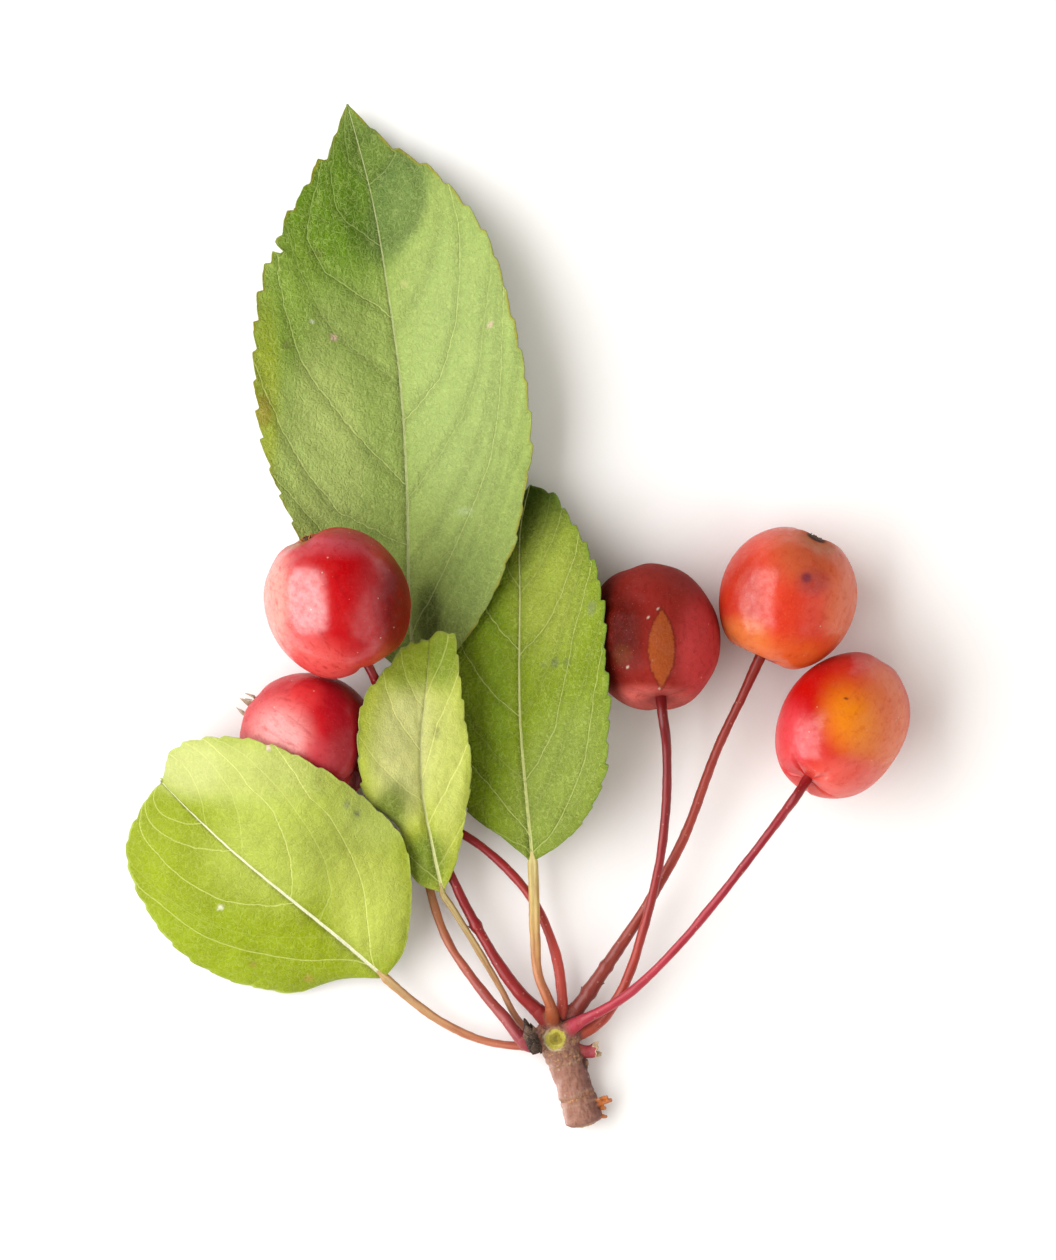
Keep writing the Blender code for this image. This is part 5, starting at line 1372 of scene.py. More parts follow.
def add_stalk(name, settings, material):
    """A stalk from inside its collar on the crown to inside its fruit or blade."""
    path = stalk_path(name)
    fruit_stalk = name.startswith("fruit")
    seed = 50 + list(STALKS).index(name)
    start = (COLLAR_LENGTH - STALK_START_INSIDE) / path.length
    shares = np.linspace(start, 1, int(path.length * (1 - start) / STALK_RING_STEP))
    radius = stalk_radius(name, shares, path.length) * settings.girth
    plain, facing = rings_round(path, shares, radius, STALK_SIDES)
    top = facing[..., 2]
    shape = 1 + 0.05 * ripples(plain, 5, seed) + 0.025 * ripples(plain, 1.3, seed + 1)
    if not fruit_stalk:
        hollow = smooth(shares, 0.25, 0.6)[:, None]
        groove = settings.groove * hollow * np.exp(-(((1 - top) / 0.12) ** 2))
        shape = shape * (1 - groove) * (1 + 0.08 * hollow)
        end = smooth(shares, 1.0, 1 - 1.8 / path.length)[:, None]
        shape = shape * (0.35 + 0.65 * end)
    rings, _ = rings_round(path, shares, radius[:, None] * shape, STALK_SIDES)
    tint = stalk_colour(name, shares)[:, None] + 0 * rings
    if not fruit_stalk:
        pale = smooth(shares, 0.3, 0.9)[:, None] * np.exp(-(((1 - top) / 0.25) ** 2)) * 0.35
        tint = tint + (seen((236, 226, 176)) - tint) * pale[..., None]
    turns = TAU * np.arange(STALK_SIDES) / STALK_SIDES
    length = np.broadcast_to(shares[:, None] * path.length, rings.shape[:2])
    along = np.stack([np.cos(turns) + 0 * length, np.sin(turns) + 0 * length, length * 0.12], -1)
    pile = Pile()
    pile.add(tube(rings), with_ends(tint), Along=with_ends(along), Top=with_ends(top))
    for stalk, share, turn, long in BRACTS:
        if stalk == name:
            add_bract(pile, name, path, share, turn, long)
    slot = "red_stalk" if fruit_stalk else "tan_stalk"
    add_piece(f"{name}_skin", pile, material, slot, name)


# Building the spur, the dead bud and the broken stalk.


def melted(shapes, grain):
    """One skin round overlapping closed shapes, softened where they meet: points, quads and ways out."""
    pile = Pile()
    for shape in shapes:
        pile.add(shape, (0.0, 0.0, 0.0))
    mesh = bpy.data.meshes.new("spur_form")
    points = np.vstack(pile.points).tolist()
    mesh.from_pydata(points, [], [face for group in pile.faces for face in group.tolist()])
    form = linked("spur_form", mesh)
    skin = form.modifiers.new("skin", "REMESH")
    skin.mode, skin.voxel_size = "VOXEL", grain
    soften = form.modifiers.new("soften", "SMOOTH")
    soften.factor, soften.iterations = 0.5, 3
    bpy.context.view_layer.update()
    made = bpy.data.meshes.new_from_object(form.evaluated_get(bpy.context.evaluated_depsgraph_get()))
    bpy.data.objects.remove(form, do_unlink=True)
    bpy.data.meshes.remove(mesh)
    places, ways = (np.zeros(len(made.vertices) * 3, np.float32) for _ in range(2))
    corners = np.zeros(len(made.loops), np.int32)
    made.vertices.foreach_get("co", places)
    made.vertex_normals.foreach_get("vector", ways)
    made.loops.foreach_get("vertex_index", corners)
    quads_only = len(corners) == 4 * len(made.polygons)
    bpy.data.meshes.remove(made)
    if not quads_only:
        raise RuntimeError("the skin of the spur isn't made of quads")
    return places.reshape(-1, 3).astype(float), corners.reshape(-1, 4), ways.reshape(-1, 3).astype(float)


def ball(rows=24, columns=40):
    """Rings of points round a ball of radius 1."""
    turns, around = np.pi * np.arange(1, rows)[:, None] / rows, TAU * np.arange(columns) / columns
    out, along = np.sin(turns), np.cos(turns)
    return np.stack([out * np.cos(around), out * np.sin(around), along + 0 * around], -1)


def ring_bend(points):
    """How far the rings of the spur wander along it, as a share of its length."""
    return 0.012 * ripples(points, 4.0, 70)


def twig_shape():
    """The twig from its cut end to the crown, raised and sunk at its rings."""
    twig = Path(SPUR_POINTS)
    shares = np.linspace(0, 1, 110)
    radius = np.interp(shares, np.linspace(0, 1, len(SPUR_RADII)), SPUR_RADII)
    rings, _ = rings_round(twig, shares, radius, 64)
    height = 0.07 * ripples(rings, 2.5, 71)
    for at, high in SPUR_RINGS:
        away = (shares[:, None] - (at + ring_bend(rings))) / SPUR_RING_WIDTH
        height = height + high * (0.75 + 0.45 * ripples(rings, 3.0, 76)) * np.exp(-(away**2))
    past_rounding = ((SPUR_END_ROUNDING - shares) / SPUR_END_ROUNDING).clip(0)
    end = np.sqrt(np.clip(1 - past_rounding**2, 0.06, 1))[:, None, None]
    outward = (rings - twig.at(shares)[:, None]) * end
    return tube(twig.at(shares)[:, None] + outward + unit(outward) * height[..., None])


def scar_shape():
    """The raised round scar of a fallen stalk, with an uneven rim."""
    around = TAU * np.arange(40) / 40
    uneven = 1 + 0.05 * np.sin(3 * around + 1) + 0.03 * np.sin(7 * around)
    rings = []
    for girth, height in SCAR_LEVELS:
        reach = SCAR_RADIUS * girth * uneven
        ring = np.stack([reach * np.cos(around), reach * np.sin(around), 0 * around + height], -1)
        rings.append(SCAR_CENTRE + ring)
    return tube(np.array(rings))


def sliver_shape(foot, tip, thick):
    """A torn splinter that tapers from its foot to its tip."""
    foot, tip = np.array(foot), np.array(tip)
    path = Path([foot - (tip - foot) * 0.3, foot, (foot + tip) / 2 + (0, 0, 0.2), tip])
    at = np.linspace(0, 1, 16)
    rings, _ = rings_round(path, at, thick * (1 - 0.45 * at**2), 12)
    return tube(rings + 0.16 * ripples(rings, 0.8, 73)[..., None] * UP)


def collar_shape(name, steps=20, sides=20):
    """The swollen foot that a stalk grows from."""
    path = stalk_path(name)
    at = np.linspace(0, COLLAR_LENGTH / path.length, steps)
    swell = np.interp(np.linspace(0, 1, steps), COLLAR_STOPS, COLLAR_GIRTHS)
    rings, _ = rings_round(path, at, stalk_radius(name, at, path.length) * swell, sides)
    return tube(rings)


def spur_shapes():
    """The twig, crown, side bud, scar, splinters and collars of the spur, as overlapping closed shapes."""
    lump = ball() * (1 + 0.05 * ripples(ball() * 3, 2, 72)[..., None])
    crown, side_bud = tube(lump * CROWN_RADII + CROWN_CENTRE), tube(lump * SIDE_BUD_RADII + SIDE_BUD)
    slivers = [sliver_shape(*sliver) for sliver in SLIVERS]
    return [twig_shape(), crown, side_bud, scar_shape(), *slivers, *[collar_shape(name) for name in STALKS]]


def hollowness(points, quads, ways, passes=6):
    """How far each point sits in a hollow, from 0 on a ridge through about a half to 1 in a crease."""
    edges = np.vstack([quads[:, (0, 1)], quads[:, (1, 2)], quads[:, (2, 3)], quads[:, (3, 0)]])
    ends = np.concatenate([edges[:, 0], edges[:, 1]])
    others = np.concatenate([edges[:, 1], edges[:, 0]])
    count = np.bincount(ends, minlength=len(points))
    even = points.copy()
    for _ in range(passes):
        totals = [np.bincount(ends, weights=even[others, k], minlength=len(points)) for k in range(3)]
        even = np.stack([total / count for total in totals], -1)
    return smooth(np.einsum("ij,ij->i", even - points, ways), -0.16, 0.16)


def bark_finish(name, settings):
    """Thin brown bark with fissures, pale pores, flaking film and orange scurf on its scars."""
    f = Finish(name)
    place, tint, bark = f.place(), f.read("Tint", "Color"), f.read("Bark")
    along = f.read("Along", "Vector")
    cracks, patch = f.noise(along, 1.6, 5, 0.65), f.noise(place, 0.8, 4, 0.65)
    grain, flake = f.noise(place, 4.5, 4, 0.7), f.noise(place, 1.9, 5, 0.75)
    colour = f.mix(f.times(bark, f.step(cracks, 0.52, 0.72, 0, 0.3)), tint, settings.bark_deep)
    colour = f.mix(f.times(bark, f.step(patch, 0.52, 0.75, 0, 0.3)), colour, settings.bark_film)
    colour = f.mix(f.step(flake, 0.48, 0.64, 0, 0.5), colour, (0.62, 0.44, 0.42), "MULTIPLY")
    colour = f.mix(f.step(grain, 0.45, 0.75, 0, 0.4), colour, (0.5, 0.36, 0.33), "MULTIPLY")
    scurf = f.times(f.read("Scurf"), f.step(flake, 0.46, 0.56))
    colour = f.mix(f.times(scurf, 0.85), colour, f.mix(grain, settings.crack_colour, paint(240, 208, 160)))
    pores = f.cells(place, 0.75)
    some = f.step(pores.outputs["Color"], 0.4, 0.6)
    pore = f.times(f.step(pores.outputs["Distance"], 0.2, 0.1), some, bark)
    colour = f.mix(f.times(pore, 0.7), colour, settings.pore_colour)
    height = f.plus(f.times(cracks, bark, -0.14), f.times(patch, bark, 0.12), f.times(grain, 0.07))
    height = f.plus(height, f.times(pore, 0.08), f.times(scurf, 0.12), f.times(flake, bark, 0.08))
    f.relief(height)
    rough = f.plus(0.42, f.times(bark, 0.2), f.times(grain, 0.15))
    f.set(Base_Color=colour, Roughness=rough, Specular_IOR_Level=0.4)
    return f.material


class SpurSkin:
    """What is painted on the skin of the spur: its tint, how much of it is bark, and its orange scurf.

    The tint holds painted light and shade too.
    """

    def __init__(self, points, ways):
        self.points, self.ways = points, ways
        self.tint = np.zeros((len(points), 3)) + seen(SPUR_COLOURS["bark"])
        self.bark, self.scurf = np.ones(len(points)), np.zeros(len(points))

    def blend(self, colour, amount):
        """Moves the tint towards a colour by an amount from 0 to 1 at each point."""
        self.tint = self.tint + (np.asarray(colour) - self.tint) * np.clip(amount, 0, 1)[:, None]

    def add_sides(self):
        """Painted light and shade: the side towards the left lamp is painted pale, and the other side dark.
        """
        self.blend(seen(SPUR_COLOURS["painted_side_light"]), smooth(-self.ways[:, 0], 0.6, 0.98) * 0.6)
        self.blend(seen(SPUR_COLOURS["shaded"]), smooth(self.ways[:, 0], 0.1, 0.9) * 0.6)

    def add_rings(self, share, away, crack_colour):
        """Pale ring scars, the girdling crack, and the scurf that gathers in them."""
        for at, _ in SPUR_RINGS:
            ring = np.exp(-(((share - at - ring_bend(self.points)) / 0.014) ** 2)) * (away < TWIG_REACH)
            uneven = np.clip(0.55 + 0.6 * ripples(self.points, 1.5, 81), 0, 1)
            if at == CRACK_AT:
                self.blend(crack_colour, ring * uneven * (self.ways[:, 2] > 0.2))
            else:
                self.blend(seen(SPUR_COLOURS["ring"]), 0.5 * ring * uneven)
            scurfy = at > UPPER_RINGS_FROM or at == CRACK_AT
            self.scurf = np.maximum(self.scurf, ring * (1.0 if scurfy else 0.3))

    def add_upper_end(self):
        """Scurf and a deeper brown towards the crown."""
        towards_crown = self.points[:, 1]
        patches = smooth(ripples(self.points, 2.2, 85), -0.5, 0.6)
        self.scurf = np.maximum(self.scurf, 0.75 * smooth(towards_crown, -68.2, -66.6) * patches)
        self.blend(seen(SPUR_COLOURS["crown"]), smooth(towards_crown, -66.6, -63.4) * 0.6)

    def add_collars(self):
        """The feet of the stalks have the stalks' colours and little bark."""
        for name in STALKS:
            path = stalk_path(name)
            share, off = path.nearest(self.points)
            radius = stalk_radius(name, share, path.length)
            near = smooth(off, radius * 1.4 + 0.3, radius * 1.12) * smooth(share * path.length, 0.9, 2.6)
            self.blend(stalk_colour(name, share), near)
            self.bark = self.bark * (1 - 0.85 * near)
            self.scurf = self.scurf * (1 - 0.8 * near)

    def add_scar(self):
        """The fresh scar: ringed green wood inside a pale rim. Gives back which points are on its face."""
        flat = self.points - SCAR_CENTRE
        out = np.hypot(flat[:, 0], flat[:, 1]) + 0.1 * ripples(self.points, 0.9, 82)
        face = (flat[:, 2] > -0.25) & (out < SCAR_RADIUS)
        wood, ring, middle = (seen(SPUR_COLOURS[f"scar_{part}"]) for part in ("wood", "ring", "middle"))
        wood = np.where((out < 0.95)[:, None], ring, wood)
        wood = np.where((out < 0.4)[:, None], middle, wood)
        rim = np.exp(-(((out - SCAR_RADIUS * 1.14) / 0.2) ** 2)) * (flat[:, 2] > -0.8)
        # Painted light: the rim is painted lighter on the side towards the left lamp.
        lit_side = smooth(flat[:, 0] + flat[:, 1], 1.0, -1.6)[:, None]
        dim, lit = seen(SPUR_COLOURS["scar_rim"]), seen(SPUR_COLOURS["lit_scar_rim"])
        self.blend(dim * (1 - lit_side) + lit * lit_side, rim * 0.9)
        self.tint = np.where(face[:, None], wood, self.tint)
        self.bark = np.where(face, 0.1, self.bark)
        self.scurf = np.where(out < SCAR_RADIUS * 1.3, 0.25 * rim, self.scurf)
        return face

    def add_slivers(self):
        """Torn orange wood on the splinters."""
        for foot, tip, thick in SLIVERS:
            _, off = Path([foot, (np.array(foot) + tip) / 2, tip]).nearest(self.points)
            near = smooth(off, thick * 1.8, thick) * smooth(self.points[:, 0], 11.0, 11.8)
            self.blend(seen(SPUR_COLOURS["splinter"]), near)
            self.bark = self.bark * (1 - 0.3 * near)


def add_spur(settings):
    """The woody spur: barked twig, swollen crown, the feet of the stalks, a fresh scar and splinters."""
    points, quads, ways = melted(spur_shapes(), settings.detail / MM)
    twig = Path(SPUR_POINTS)
    share, away = twig.nearest(points)
    ahead = twig.along(share)
    hollow = hollowness(points, quads, ways)
    skin = SpurSkin(points, ways)
    skin.add_sides()
    skin.add_rings(share, away, settings.crack_colour)
    skin.add_upper_end()
    skin.add_collars()
    face = skin.add_scar()
    skin.add_slivers()
    skin.blend(seen(SPUR_COLOURS["side_bud"]), smooth(np.linalg.norm(points - SIDE_BUD, axis=1), 1.1, 0.6))
    # Painted shade in the creases, and painted light on the ridges of the bark.
    skin.blend(seen(SPUR_COLOURS["crease"]), smooth(hollow, 0.55, 0.85) * (1 - 0.6 * face) * 0.85)
    skin.blend(seen(SPUR_COLOURS["ridge"]), smooth(hollow, 0.3, 0.08) * skin.bark * 0.35)
    cut = smooth(-np.einsum("ij,ij->i", ways, ahead), 0.72, 0.95) * (share < 0.02)
    skin.blend(seen(SPUR_COLOURS["cut"]), cut * 0.9)
    radial, sideways = points - twig.at(share), np.cross(ahead, UP)
    across, other = unit(sideways), unit(np.cross(sideways, ahead))
    along = np.stack([(radial * across).sum(1), (radial * other).sum(1), share * twig.length * 0.35], -1)
    uneven = 0.04 * ripples(along, 0.5, 83) + 0.05 * ripples(points, 0.8, 84)
    points = points + ways * (settings.roughness * skin.bark * uneven)[:, None]
    points[:, 2] = np.maximum(points[:, 2], 0.02)
    pile = Pile()
    pile.add((points, [quads]), skin.tint, Bark=skin.bark, Scurf=skin.scurf, Along=along)
    add_piece("spur_bark", pile, bark_finish("spur_bark", settings), "bark", "spur")


def add_bud():
    """A dead bud of dry overlapping scales, some of them lifted."""
    rng = np.random.default_rng(5)
    axis = Path([BUD_FOOT, (BUD_FOOT + BUD_TIP) / 2, BUD_TIP])
    shares = np.linspace(0, 1, 14)
    core_radius = BUD_RADIUS * 0.75 * np.sqrt(np.clip(1.02 - shares**2, 0.01, 1))
    core, _ = rings_round(axis, shares, core_radius, 16)
    pile = Pile()
    pile.add(tube(core), paint(52, 34, 28))
    for i in range(BUD_SCALES):
        start = 0.62 * i / BUD_SCALES
        ahead, across, other = (v[0] for v in frames(axis, np.array([start])))
        turn = i * BUD_SCALE_TURN
        way = across * math.cos(turn) + other * math.sin(turn)
        reach = BUD_RADIUS * math.sqrt(1 - start**2)
        long = rng.uniform(1.7, 2.5) * (1 - 0.25 * start)
        lift = rng.uniform(-0.1, 0.35)
        foot = axis.at(start) + way * reach * 0.72 - ahead * 0.3
        line = [
            foot,
            foot + way * 0.3 + ahead * long * 0.4,
            foot + way * (0.2 + lift * 0.6) + ahead * long * 0.75,
            foot + way * lift + ahead * long,
        ]
        points, faces = strip(line, rng.uniform(1.2, 1.7), 0.12, way, cup=-0.55, widest=0.4, blunt=2.2)
        points = points + 0.06 * ripples(points, 0.9, i)[:, None] * way
        shade = rng.uniform(0.45, 1.15)
        pile.add((points, faces), seen((118 * shade, 92 * shade, 76 * shade)))
    add_piece("dead_bud_scales", pile, dry_finish("bud_scale"), "dead_wood", "dead_bud")


def stub_finish(name):
    """Broken flesh: pink skin and a dry cream inside."""
    f = Finish(name)
    place, tint = f.place(), f.read("Tint", "Color")
    patch, grain = f.noise(place, 1.2, 4, 0.6), f.noise(place, 5.0, 4, 0.7)
    colour = f.mix(f.step(patch, 0.45, 0.7, 0, 0.4), tint, paint(150, 60, 60), "MULTIPLY")
    colour = f.mix(f.step(grain, 0.5, 0.75, 0, 0.3), colour, paint(232, 200, 170))
    f.relief(f.plus(f.times(grain, 0.08), f.times(patch, 0.08)))
    f.set(Base_Color=colour, Roughness=f.plus(0.45, f.times(grain, 0.2)))
    return f.material


def add_stub(sides=36):
    """A broken stalk with two lobes and a torn hollow end."""
    path = Path(STUB_POINTS)
    shares = np.linspace(0, 1, 40)
    radius = np.interp(shares, STUB_SHARES, STUB_RADII)
    turns = TAU * np.arange(sides) / sides
    lobes = 1 + 0.14 * np.cos(2 * turns + 0.6)[None] * smooth(shares, 0.3, 1)[:, None]
    outer, _ = rings_round(path, shares, radius[:, None] * lobes, sides)
    ahead = path.along(1.0)
    torn = 0.3 * np.sin(3 * turns) + 0.18 * np.sin(7 * turns + 1)
    outer = outer + ahead * (smooth(shares, 0.7, 1)[:, None] * torn)[..., None]
    depth = np.linspace(0, 1, 10)[1:, None, None]
    inner = outer[-1] + (path.at(1.0) - outer[-1])[None] * (0.35 + 0.35 * depth) - ahead * depth * 0.8
    rings = np.concatenate([outer, inner])
    pink, cream = seen((176, 58, 70)), seen((232, 206, 166))
    tint = np.zeros((*rings.shape[:2], 3)) + pink
    tint[: len(shares)] += (seen((206, 120, 96)) - pink) * smooth(shares, 0.6, 0.0)[:, None, None]
    tint[len(shares) - 2 :] = cream
    tint[-5:] = seen((176, 130, 90))
    pile = Pile()
    pile.add(tube(rings), with_ends(tint))
    add_piece("stub_flesh", pile, stub_finish("stub_flesh"), "red_stalk", "stalk_stub")


# Settings that the sidebar shows.


class LeafSettings(PropertyGroup):
    """Sizes and colours of the blades."""

    thickness: FloatProperty(
        name="Thickness", description="Thickness of a blade",
        default=0.00034, min=0.0001, max=0.0006, unit="LENGTH", precision=5,
    )
    keel: FloatProperty(
        name="Midrib ridge", description="How far the midrib stands out below",
        default=0.0005, min=0, max=0.0007, unit="LENGTH", precision=5,
    )
    rib_width: FloatProperty(
        name="Midrib width", description="Width of the midrib at the base",
        default=0.0006, min=0.0003, max=0.002, unit="LENGTH", precision=5,
    )
    relief: FloatProperty(
        name="Quilting", description="How much the skin puffs up between the veins",
        default=1.0, min=0, max=2, subtype="FACTOR",
    )
    gloss: FloatProperty(
        name="Roughness", description="Roughness of the upper skin",
        default=0.4, min=0.1, max=1, subtype="FACTOR",
    )
    shine: FloatProperty(
        name="Shine", description="Strength of the reflection of the skin",
        default=0.12, min=0, max=1, subtype="FACTOR",
    )
    deep_tint: FloatVectorProperty(
        name="Shade", description="What darker patches are multiplied by",
        default=(0.55, 0.68, 0.42), min=0, max=1, subtype="COLOR",
    )


class FruitSettings(PropertyGroup):
    """Sizes and colours of the fruits."""

    waviness: FloatProperty(
        name="Waviness", description="How uneven the skin is",
        default=0.00012, min=0, max=0.0005, unit="LENGTH", precision=5,
    )
    gloss: FloatProperty(
        name="Roughness", description="Roughness of the skin under its wax",
        default=0.45, min=0.05, max=1, subtype="FACTOR",
    )
    wax: FloatProperty(
        name="Wax", description="Strength of the waxy layer",
        default=1.0, min=0, max=1, subtype="FACTOR",
    )
    wax_blur: FloatProperty(
        name="Wax roughness", description="Roughness of the waxy layer",
        default=0.25, min=0.02, max=1, subtype="FACTOR",
    )
    wax_ior: FloatProperty(
        name="Wax density", description="How strongly the waxy layer reflects",
        default=1.85, min=1.3, max=2,
    )
    bloom: FloatProperty(
        name="Bloom", description="Strength of the dull film on the skin",
        default=0.03, min=0, max=1, subtype="FACTOR",
    )
    bloom_colour: FloatVectorProperty(
        name="Bloom colour", description="Colour of the dull film",
        default=paint(206, 150, 160), min=0, max=1, subtype="COLOR",
    )
    dot_colour: FloatVectorProperty(
        name="Pore colour", description="Colour of the pale dots",
        default=paint(240, 190, 160), min=0, max=1, subtype="COLOR",
    )


class StalkSettings(PropertyGroup):
    """Sizes and colours of the stalks."""

    girth: FloatProperty(
        name="Girth", description="Thickness of the stalks against that of the packed model",
        default=1.0, min=0.8, max=1.1, subtype="FACTOR",
    )
    groove: FloatProperty(
        name="Groove", description="Depth of the groove along a leaf stalk",
        default=0.3, min=0, max=0.5, subtype="FACTOR",
    )
    gloss: FloatProperty(
        name="Roughness", description="Roughness of the skin",
        default=0.42, min=0.1, max=1, subtype="FACTOR",
    )
    specks: FloatProperty(
        name="Specks", description="Strength of the pale specks",
        default=0.35, min=0, max=1, subtype="FACTOR",
    )
    # This also darkens the underside of the stalks, as painted shade.
    deep_colour: FloatVectorProperty(
        name="Shade", description="What darker streaks are multiplied by",
        default=(0.62, 0.4, 0.4), min=0, max=1, subtype="COLOR",
    )
    streak_colour: FloatVectorProperty(
        name="Streak colour", description="Colour of the paler streaks",
        default=paint(216, 120, 84), min=0, max=1, subtype="COLOR",
    )
    speck_colour: FloatVectorProperty(
        name="Speck colour", description="Colour of the pale specks",
        default=paint(232, 180, 150), min=0, max=1, subtype="COLOR",
    )


class SpurSettings(PropertyGroup):
    """Sizes and colours of the spur."""

    detail: FloatProperty(
        name="Detail", description="Size of the smallest feature of the bark's mesh",
        default=0.00016, min=0.0001, max=0.0005, unit="LENGTH", precision=5,
    )
    roughness: FloatProperty(
        name="Unevenness", description="How uneven the bark is",
        default=1.0, min=0, max=2, subtype="FACTOR",
    )
    bark_deep: FloatVectorProperty(
        name="Fissures", description="Colour of the fissures",
        default=paint(84, 54, 50), min=0, max=1, subtype="COLOR",
    )
    bark_film: FloatVectorProperty(
        name="Film", description="Colour of the flaking film",
        default=paint(186, 158, 150), min=0, max=1, subtype="COLOR",
    )
    pore_colour: FloatVectorProperty(
        name="Pores", description="Colour of the pores",
        default=paint(206, 178, 156), min=0, max=1, subtype="COLOR",
    )
    crack_colour: FloatVectorProperty(
        name="Crack", description="Colour inside the girdling crack",
        default=paint(206, 120, 62), min=0, max=1, subtype="COLOR",
    )


class StageSettings(PropertyGroup):
    """The table, the lamps and the camera."""

    floor_colour: FloatVectorProperty(
        name="Table", description="Colour of the table",
        default=(0.9, 0.9, 0.9), min=0, max=1, subtype="COLOR",
    )
    left_power: FloatProperty(
        name="Left lamp", description="Power of the left lamp",
        default=14.4, min=0, unit="POWER",
    )
    right_power: FloatProperty(
        name="Right lamp", description="Power of the right lamp",
        default=1.9, min=0, unit="POWER",
    )
    fill_power: FloatProperty(
        name="Fill lamps", description="Power of each fill lamp",
        default=3.6, min=0, unit="POWER",
    )
    sky: FloatProperty(
        name="Fill", description="Light from all around",
        default=0.06, min=0, max=2,
    )
    view_height: FloatProperty(
        name="View height", description="Height of the picture at the sprig",
        default=0.189, min=0.05, unit="LENGTH",
    )
    camera_height: FloatProperty(
        name="Camera height", description="Height of the camera above the table",
        default=2.0, min=0.5, unit="LENGTH",
    )


# Table, lamps and camera.


def floor_finish(settings):
    """Matt pale board with the faintest tooth."""
    f = Finish("table_board")
    grain = f.noise(f.place(), 0.8, 4, 0.6)
    shade = tuple(v * 0.985 for v in settings.floor_colour)
    f.set(Base_Color=f.mix(grain, shade, tuple(settings.floor_colour)))
    f.set(Roughness=0.9, Specular_IOR_Level=0.2)
    return f.material


def add_lamp(name, place, aim, size, power, fill=False):
    """A soft rectangular lamp that faces the point aim. A fill lamp is warmer and leaves no reflection."""
    light = bpy.data.lights.new(name, "AREA")
    light.shape = "RECTANGLE"
    light.size, light.size_y = size
    light.energy = power
    if fill:
        light.color = FILL_COLOUR
    lamp = linked(name, light)
    lamp.location = place
    lamp.rotation_mode = "QUATERNION"
    lamp.rotation_quaternion = (Vector(aim) - Vector(place)).to_track_quat("-Z", "Y")
    lamp.visible_camera = False
    lamp.visible_glossy = not fill


def add_table(settings):
    """The pale board that the sprig lies on."""
    half, low = TABLE_HALF_WIDTH, TABLE_HEIGHT
    corners = [(-half, -half, low), (half, -half, low), (half, half, low), (-half, half, low)]
    mesh = bpy.data.meshes.new("table")
    mesh.from_pydata(corners, [], [(0, 1, 2, 3)])
    mesh.materials.append(floor_finish(settings))
    table = linked("table", mesh)


def add_lights(settings):
    """Two soft lamps, two warm fill lamps, and a little light from all around."""
    middle = (0.0, 0.0, 0.0)
    add_lamp("left_lamp", (-0.58, 0.0, 0.475), middle, (1.33, 0.87), settings.left_power)
    add_lamp("right_lamp", (0.636, -0.28, 0.4), (0.0, -0.28, 0.0), (1.24, 0.9), settings.right_power)
    add_lamp("side_fill", (0.5, -0.6, 0.6), middle, (1.2, 0.9), settings.fill_power, True)
    top_power = TOP_FILL_SHARE * settings.fill_power
    add_lamp("top_fill", (0.0, 0.0, 1.3), middle, (1.5, 1.5), top_power, True)
    world = bpy.data.worlds.new("studio")
    world.use_nodes = True
    background = world.node_tree.nodes["Background"]
    background.inputs[0].default_value = (*FILL_COLOUR, 1)
    background.inputs[1].default_value = settings.sky
    bpy.context.scene.world = world


def add_camera(settings):
    """The camera, which looks straight down on the middle of the picture."""
    scene = bpy.context.scene
    lens = bpy.data.cameras.new("camera")
    lens.sensor_width = SENSOR_WIDTH
    lens.lens = SENSOR_WIDTH * (settings.camera_height - PICTURE_PLANE) / settings.view_height
    lens.clip_start, lens.clip_end = 0.05, 50
    camera = linked("camera", lens)
    camera.location = (*PICTURE_MIDDLE, settings.camera_height)
    scene.camera = camera
    scene.view_settings.view_transform = "Standard"


# Operators, the panel, and what runs them.


class SPRIG_OT_leaves(Operator):
    """Adds the four toothed blades"""

    bl_idname = "sprig.leaves"
    bl_label = "Leaves"

    def execute(self, context):
        for name in LEAVES:
            add_blade(name, context.scene.sprig_leaf)
        return {"FINISHED"}


class SPRIG_OT_fruits(Operator):
    """Adds the five fruits"""

    bl_idname = "sprig.fruits"
    bl_label = "Fruits"

    def execute(self, context):
        for name in FRUITS:
            add_fruit(name, context.scene.sprig_fruit)
        return {"FINISHED"}


class SPRIG_OT_sepals(Operator):
    """Adds the dry sepals in the eyes of the fruits"""

    bl_idname = "sprig.sepals"
    bl_label = "Sepals"

    def execute(self, context):
        material = dry_finish("dry_sepal")
        for name in FRUITS:
            add_calyx(name, material)
        return {"FINISHED"}


class SPRIG_OT_stalks(Operator):
    """Adds the stalks of the fruits and leaves"""

    bl_idname = "sprig.stalks"
    bl_label = "Stalks"

    def execute(self, context):
        settings = context.scene.sprig_stalk
        material = stalk_finish("stalk_skin", settings)
        for name in STALKS:
            add_stalk(name, settings, material)
        return {"FINISHED"}


class SPRIG_OT_spur(Operator):
    """Adds the woody spur"""

    bl_idname = "sprig.spur"
    bl_label = "Spur"

    def execute(self, context):
        add_spur(context.scene.sprig_spur)
        return {"FINISHED"}


class SPRIG_OT_bud(Operator):
    """Adds the dead bud on the crown of the spur"""

    bl_idname = "sprig.bud"
    bl_label = "Dead bud"

    def execute(self, context):
        add_bud()
        return {"FINISHED"}


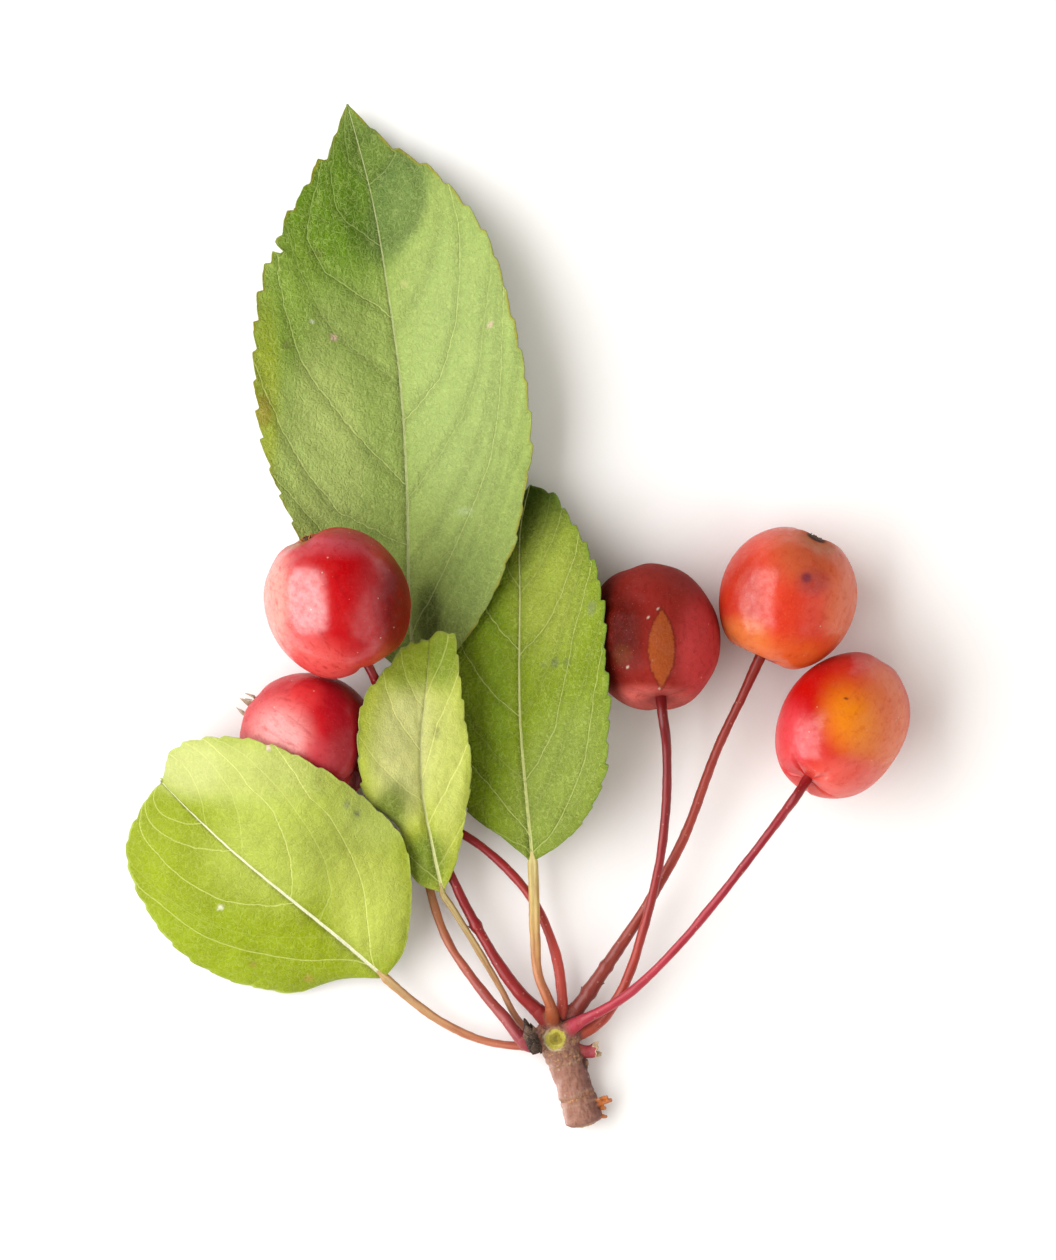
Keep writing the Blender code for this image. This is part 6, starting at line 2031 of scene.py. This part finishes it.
class SPRIG_OT_stub(Operator):
    """Adds the broken stalk on the crown of the spur"""

    bl_idname = "sprig.stub"
    bl_label = "Broken stalk"

    def execute(self, context):
        add_stub()
        return {"FINISHED"}


class SPRIG_OT_stage(Operator):
    """Adds the table, the lamps and the camera"""

    bl_idname = "sprig.stage"
    bl_label = "Stage"

    def execute(self, context):
        settings = context.scene.sprig_stage
        add_table(settings)
        add_lights(settings)
        add_camera(settings)
        return {"FINISHED"}


class SPRIG_PT_panel(Panel):
    """Lists the pieces of the sprig and their settings"""

    bl_idname = "SPRIG_PT_panel"
    bl_label = "Crabapple sprig"
    bl_space_type = "VIEW_3D"
    bl_region_type = "UI"
    bl_category = "Sprig"

    def draw(self, context):
        for settings, group, operators in PARTS:
            box = self.layout.box()
            for operator in operators:
                box.operator(operator.bl_idname)
            for name in group.__annotations__:
                box.prop(getattr(context.scene, settings), name)


PARTS = (
    ("sprig_leaf", LeafSettings, (SPRIG_OT_leaves,)),
    ("sprig_fruit", FruitSettings, (SPRIG_OT_fruits, SPRIG_OT_sepals)),
    ("sprig_stalk", StalkSettings, (SPRIG_OT_stalks,)),
    ("sprig_spur", SpurSettings, (SPRIG_OT_spur, SPRIG_OT_bud, SPRIG_OT_stub)),
    ("sprig_stage", StageSettings, (SPRIG_OT_stage,)),
)
CLASSES = [made for _, group, operators in PARTS for made in (group, *operators)] + [SPRIG_PT_panel]


def register():
    """Makes the operators, the panel and the settings known to Blender."""
    for made in CLASSES:
        bpy.utils.register_class(made)
    for settings, group, _ in PARTS:
        setattr(bpy.types.Scene, settings, PointerProperty(type=group))


def unregister():
    """Takes away what register added."""
    for settings, _, _ in PARTS:
        delattr(bpy.types.Scene, settings)
    for made in reversed(CLASSES):
        bpy.utils.unregister_class(made)


def main():
    """Builds the sprig and its stage."""
    register()
    for build in (
        bpy.ops.sprig.leaves,
        bpy.ops.sprig.fruits,
        bpy.ops.sprig.sepals,
        bpy.ops.sprig.stalks,
        bpy.ops.sprig.spur,
        bpy.ops.sprig.bud,
        bpy.ops.sprig.stub,
        bpy.ops.sprig.stage,
    ):
        build()


if __name__ == "__main__":
    main()
